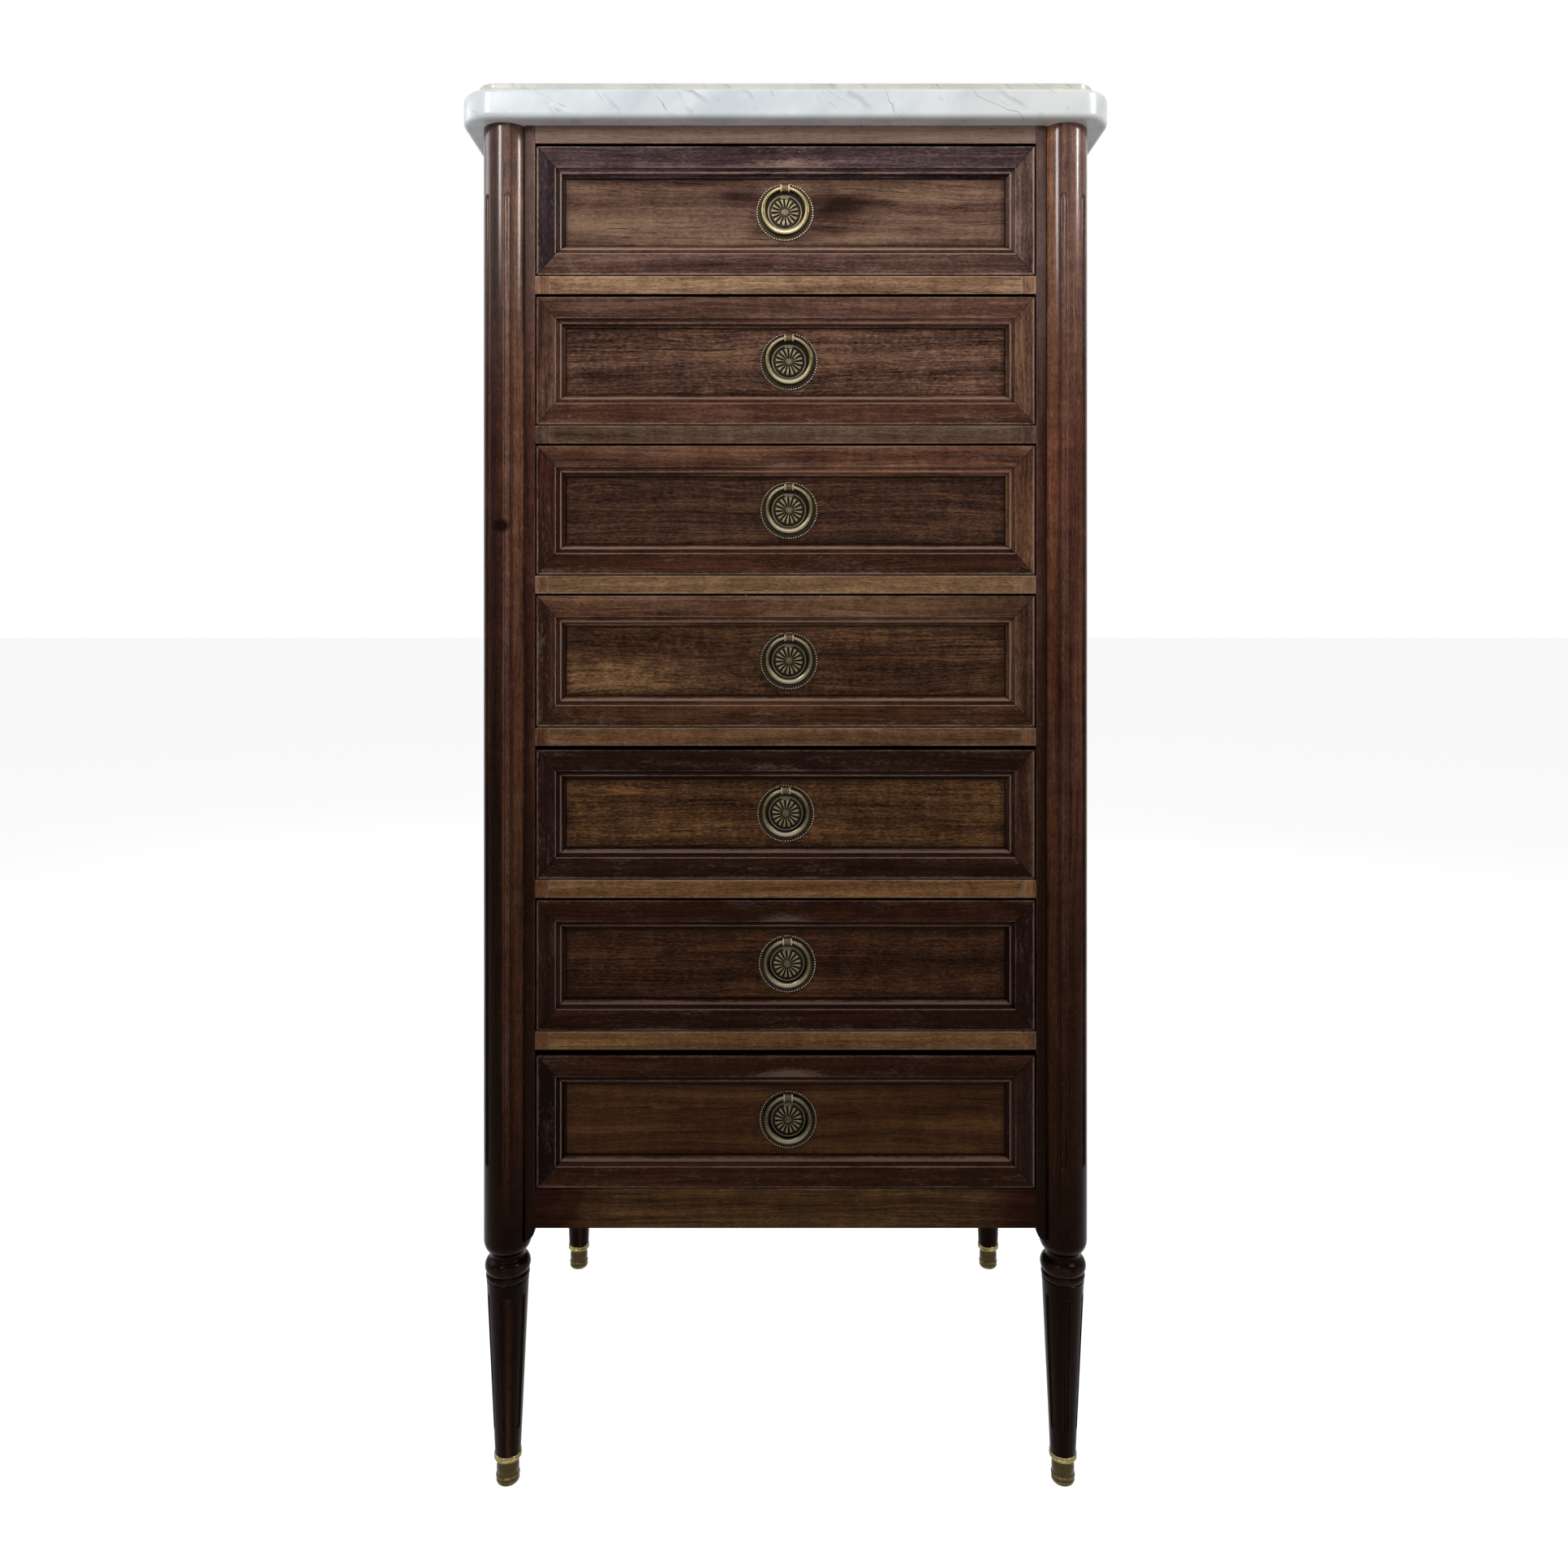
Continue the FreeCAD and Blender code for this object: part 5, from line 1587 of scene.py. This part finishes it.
    def lathe(self, draft: Draft, profile: Sequence[Point], place: Matrix, sides: int) -> None:
        """Adds a turned shell.

        Args:
            draft: gets the shell.
            profile: (radius, height, wear) points.
            place: where it goes.
            sides: the points of a ring.
        """
        turn = np.linspace(0, 2 * math.pi, sides, endpoint=False)
        rings = [circle((0.0, 0.0), *point, turn) for *point, _ in profile]
        draft.loft(rings, wear=np.array([worn for *_, worn in profile]), place=place, stain=self.tint())

    def build(self, body: str, ring_body: str, tree: bpy.types.NodeTree) -> None:
        """Makes the plate with its ornament and the ring.

        Args:
            body: the drawer's body.
            ring_body: the ring's body.
            tree: the nodes that set copies in a ring.
        """
        name, place = f"drawer_{self.number}", self.place()
        stud = place @ Matrix.Translation((0, self.lift, 0))
        draft = Draft(seed=200 + self.number)
        self.lathe(draft, self.plate, place, 96)
        self.staple(draft, stud)
        draft.block(*self.ledge, 0.4, place=place, edge_wear=0.2, stain=self.tint())
        self.lathe(draft, self.stud, stud, 24)
        nut_radius, nut_start, nut_end = self.nut
        draft.prism(arc(0.0, 0.0, nut_radius, 0, 300, 5), 2, nut_start, nut_end, place=stud, wear=0.2)
        draft.settle(f"{name}_pull_plate", PLATE_BRASS, body, "antique_brass", f"{name}_backplate", 40)
        for kind, seed_piece, (count, radius), spread in (
            ("beads", self.bead(), self.beads, 0.06),
            ("petals", self.petal(), self.petals, 0.03),
        ):
            mesh = grown(seed_piece, tree, {
                "Count": count,
                "Ring Radius": radius * MM,
                "Size Spread": spread,
                "First Angle": math.radians(90 + 15),
                "Seed": self.number,
                "Material": PLATE_BRASS.material(),
            })
            turned = place.copy()
            turned.translation *= MM
            mesh.transform(turned)
            settle(placed(f"{name}_pull_{kind}", mesh), body, "antique_brass")
        self.ring(ring_body)

    def ring(self, body: str) -> None:
        """Makes the smooth round ring, thicker at its foot where the hand takes it.

        Args:
            body: the ring's body.
        """
        x, y, z = self.centre()
        draft = Draft(seed=220 + self.number)
        section = np.linspace(0, 2 * math.pi, 20, endpoint=False)
        least, most = self.ring_section
        rows, wears = [], []
        for angle in np.linspace(0, 2 * math.pi, 120, endpoint=False):
            low = (1 - math.cos(angle)) / 2
            half = least + (most - least) * low
            reach = self.ring_radius + half * np.cos(section)
            rows.append(np.stack([
                x + reach * math.sin(angle),
                y - self.stand_off - self.ring_depth * half * np.sin(section),
                z + self.lift - self.ring_radius + reach * math.cos(angle),
            ], axis=-1))
            # Painted highlight along the crest, brightest at the head and the foot where the hand also
            # polishes it; the darker sides are patina and painted shade
            crest = 0.75 + 0.75 * math.cos(angle) ** 2
            wears.append(-0.75 + crest * np.maximum(np.sin(section), 0) ** 2 + 0.25 * low)
        # A darker pull is less golden
        glow = self.tarnish_and_shade * (0.62 + 0.35 * self.tarnish_and_shade)
        stain = (glow, glow * 1.02, glow * (1.08 + 0.25 * (1 - self.tarnish_and_shade)))
        draft.loft(rows, wrap=True, wear=np.array(wears), stain=stain)
        name = f"drawer_{self.number}_ring"
        draft.settle(f"{name}_bar", RING_BRASS, body, "antique_brass", name, 60)


# Each drawer's tints; the lower drawers are darker partly as painted shade, where the light falls off down
# the chest
LOOKS = (
    DrawerLook((0.60, 0.66, 0.94), (0.82, 0.76, 0.80), (0.21, 0.25, 0.41), (0.82, 0.87, 1.02),
               (0.95, 0.93, 1.0),
               ((50, 6, 38, 18, -0.85), (14, -18, 46, 9, -0.6), (-40, 14, 22, 10, -0.75)), 0.6, 1.3, 0.85),
    DrawerLook((0.86, 0.75, 0.70), (0.67, 0.50, 0.41), (0.69, 0.56, 0.52), (0.98, 0.85, 0.69),
               (0.60, 0.53, 0.59),
               ((-170, -20, 60, 12, -0.5), (-60, 30, 120, 6, -0.3), (150, 0, 50, 30, 0.2)),
               0.3, 0.95, 1.55),
    DrawerLook((1.06, 0.84, 0.66), (0.37, 0.24, 0.185), (0.30, 0.175, 0.16), (1.30, 1.07, 0.76),
               (0.275, 0.225, 0.235), ((150, 10, 90, 14, 0.2), (40, -30, 80, 8, -0.3)), 0.2, 0.9, 1.5),
    DrawerLook((0.86, 0.76, 0.56), (0.37, 0.27, 0.17), (0.35, 0.265, 0.215), (0.62, 0.53, 0.40),
               (0.38, 0.315, 0.275),
               ((-160, -14, 70, 16, 0.9), (-120, 26, 90, 5, -0.5), (-40, 4, 200, 3, -0.35),
                (120, 0, 90, 20, -0.15)), 0.4, 0.8, 0.62),
    DrawerLook((0.134, 0.086, 0.08), (0.125, 0.085, 0.069), (0.157, 0.098, 0.126), (0.42, 0.33, 0.27),
               (0.42, 0.34, 0.245), ((-120, 0, 60, 20, 0.2),), 0.25, 0.52, 1.2),
    DrawerLook((0.18, 0.10, 0.069), (0.135, 0.067, 0.048), (0.18, 0.116, 0.108), (0.092, 0.048, 0.053),
               (0.21, 0.15, 0.125), (), 0.8, 0.42, 1.2),
    DrawerLook((0.21, 0.128, 0.083), (0.21, 0.128, 0.069), (0.024, 0.009, 0.008), (0.15, 0.11, 0.11),
               (0.295, 0.21, 0.127), ((-140, -10, 60, 20, 0.35), (160, 20, 60, 10, -0.3)), 0.8, 0.46, 0.88),
)
# How dark each pull is, from the top drawer down: tarnish, and painted shade that deepens down the chest
TARNISH_AND_SHADE = (0.85, 0.52, 0.44, 0.38, 0.36, 0.36, 0.28)


# Studio


class WhiteFloor(Finish):
    """A pale matt floor that shows white and still takes the chest's shadow."""

    name = "white_floor"

    def draw(self, nodes: Nodes) -> None:
        """Adds the floor's nodes."""
        matt = nodes.add("ShaderNodeBsdfDiffuse", {"Color": (0.55, 0.55, 0.55, 1.0)})
        strength = nodes.math("MULTIPLY", seen_mask(nodes), 0.82)
        glow = nodes.add("ShaderNodeEmission", {"Color": (1, 1, 1, 1), "Strength": strength})
        both = nodes.add("ShaderNodeAddShader", {0: matt, 1: glow})
        nodes.add("ShaderNodeOutputMaterial", {"Surface": both})


def seen_mask(nodes: Nodes) -> Socket:
    """One where the camera, a reflection or a refraction looks, zero elsewhere.

    Args:
        nodes: the tree that gets the mask.

    Returns:
        The mask.
    """
    path = add_node(nodes.tree, "ShaderNodeLightPath").outputs
    mask = path["Is Camera Ray"]
    for name in ("Is Glossy Ray", "Is Transmission Ray"):
        mask = nodes.math("MAXIMUM", mask, path[name])
    return mask


@dataclass
class Studio:
    """Pale floor, plain soft lights and the camera at the photograph's height, in metres."""

    lens: float = 25.77
    sensor: float = 36.0
    camera_place: Point = (-0.0072, -1.2194, 0.8158)
    shift: Pair = (0.0040, -0.1118)
    surround: float = 0.22
    floor_half: float = 30.0
    # Name, place, what it points at, width, height, power in watts
    lights: tuple[tuple[str, Point, Point, float, float, float], ...] = (
        ("left_key", (-0.82, -1.37, 1.84), (0.0, -0.1, 0.95), 0.11, 0.5, 11.5),
        ("right_key", (1.36, -0.82, 1.88), (0.0, -0.1, 0.95), 0.13, 0.5, 15.0),
        ("front_fill", (0.2, -2.6, 1.3), (0.0, 0.0, 0.7), 1.6, 1.2, 10.0),
        ("left_fill", (-2.2, 0.1, 1.5), (0.0, 0.0, 0.7), 1.0, 1.2, 14.0),
        ("rear_fill", (0.4, 2.2, 1.9), (0.0, 0.0, 0.8), 1.4, 1.2, 18.0),
    )

    def camera(self) -> None:
        """Makes the camera."""
        data = bpy.data.cameras.new("camera")
        data.lens, data.sensor_width = self.lens, self.sensor
        data.shift_x, data.shift_y = self.shift
        camera = placed("camera", data)
        camera.location = self.camera_place
        camera.rotation_euler = (math.radians(90), 0, 0)
        bpy.context.scene.camera = camera

    def lamps(self) -> None:
        """Makes the soft box lights."""
        for name, place, aim, width, height, power in self.lights:
            data = bpy.data.lights.new(name, "AREA")
            data.shape = "RECTANGLE"
            data.size, data.size_y, data.energy = width, height, power
            lamp = placed(name, data)
            lamp.location = place
            lamp.rotation_euler = (Vector(aim) - Vector(place)).to_track_quat("-Z", "Y").to_euler()

    def world(self) -> None:
        """White to the eye and in reflections, a plain soft fill for everything else."""
        world = bpy.data.worlds.new("studio")
        bpy.context.scene.world = world
        world.use_nodes = True
        nodes = Nodes(world.node_tree)
        strength = nodes.step(seen_mask(nodes), 0.0, 1.0, self.surround, 1.0, "LINEAR")
        glow = nodes.add("ShaderNodeBackground", {"Color": (1, 1, 1, 1), "Strength": strength})
        nodes.add("ShaderNodeOutputWorld", {"Surface": glow})

    def floor(self) -> None:
        """Makes the floor."""
        half = self.floor_half
        mesh = bpy.data.meshes.new("floor")
        corners = [(-half, -half, 0), (half, -half, 0), (half, half, 0), (-half, half, 0)]
        mesh.from_pydata(corners, [], [(0, 1, 2, 3)])
        floor = placed("floor", mesh)
        mesh.materials.append(WhiteFloor().material())

    def build(self) -> None:
        """Makes the whole studio."""
        bpy.context.scene.view_settings.view_transform = "Standard"
        self.camera()
        self.lamps()
        self.world()
        self.floor()


def dress_carried_nodes() -> None:
    """Gives the nodes that stay as they are their oak."""
    for name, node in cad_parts.items():
        if node.hide_render:
            continue
        finish = OAK_ALONG_Y if name.startswith("drawer_runners") else OAK_ALONG_X
        node.data.materials.clear()
        node.data.materials.append(finish.material())
        log.info("%s: dressed in %s", name, finish.name)


def main() -> None:
    """Builds the chest piece by piece, then the studio, and hands the scene over."""
    logging.basicConfig(level=logging.INFO, format="%(name)s: %(message)s")
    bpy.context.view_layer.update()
    MarbleTop().build()
    for side in Side:
        front_axis, rear_axis = ((side.value * x, y) for x, y in (FRONT_AXIS, REAR_AXIS))
        paler = (1.20, 1.30, 1.32) if side is Side.RIGHT else (1.0, 1.0, 1.0)
        TurnedPost(side, True, front_axis, FRONT_RADIUS, paler).build()
        TurnedPost(side, False, rear_axis, REAR_RADIUS).build()
        Sabot(side, True, front_axis).build()
        Sabot(side, False, rear_axis).build()
    FrontRails().build()
    carcass = CarcassFrame()
    for side in Side:
        carcass.build_side(side)
    carcass.build_back()
    copies = ring_of_copies()
    for number, (look, tarnish_and_shade) in enumerate(zip(LOOKS, TARNISH_AND_SHADE), start=1):
        body, pull = f"drawer_{number}", Pull(number, tarnish_and_shade)
        DrawerFront(number, look).build(body, pull.centre()[0])
        DrawerBox(number).build(body)
        pull.build(body, f"ring_{number}", copies)
    dress_carried_nodes()
    Studio().build()


if __name__ == "__main__":
    main()
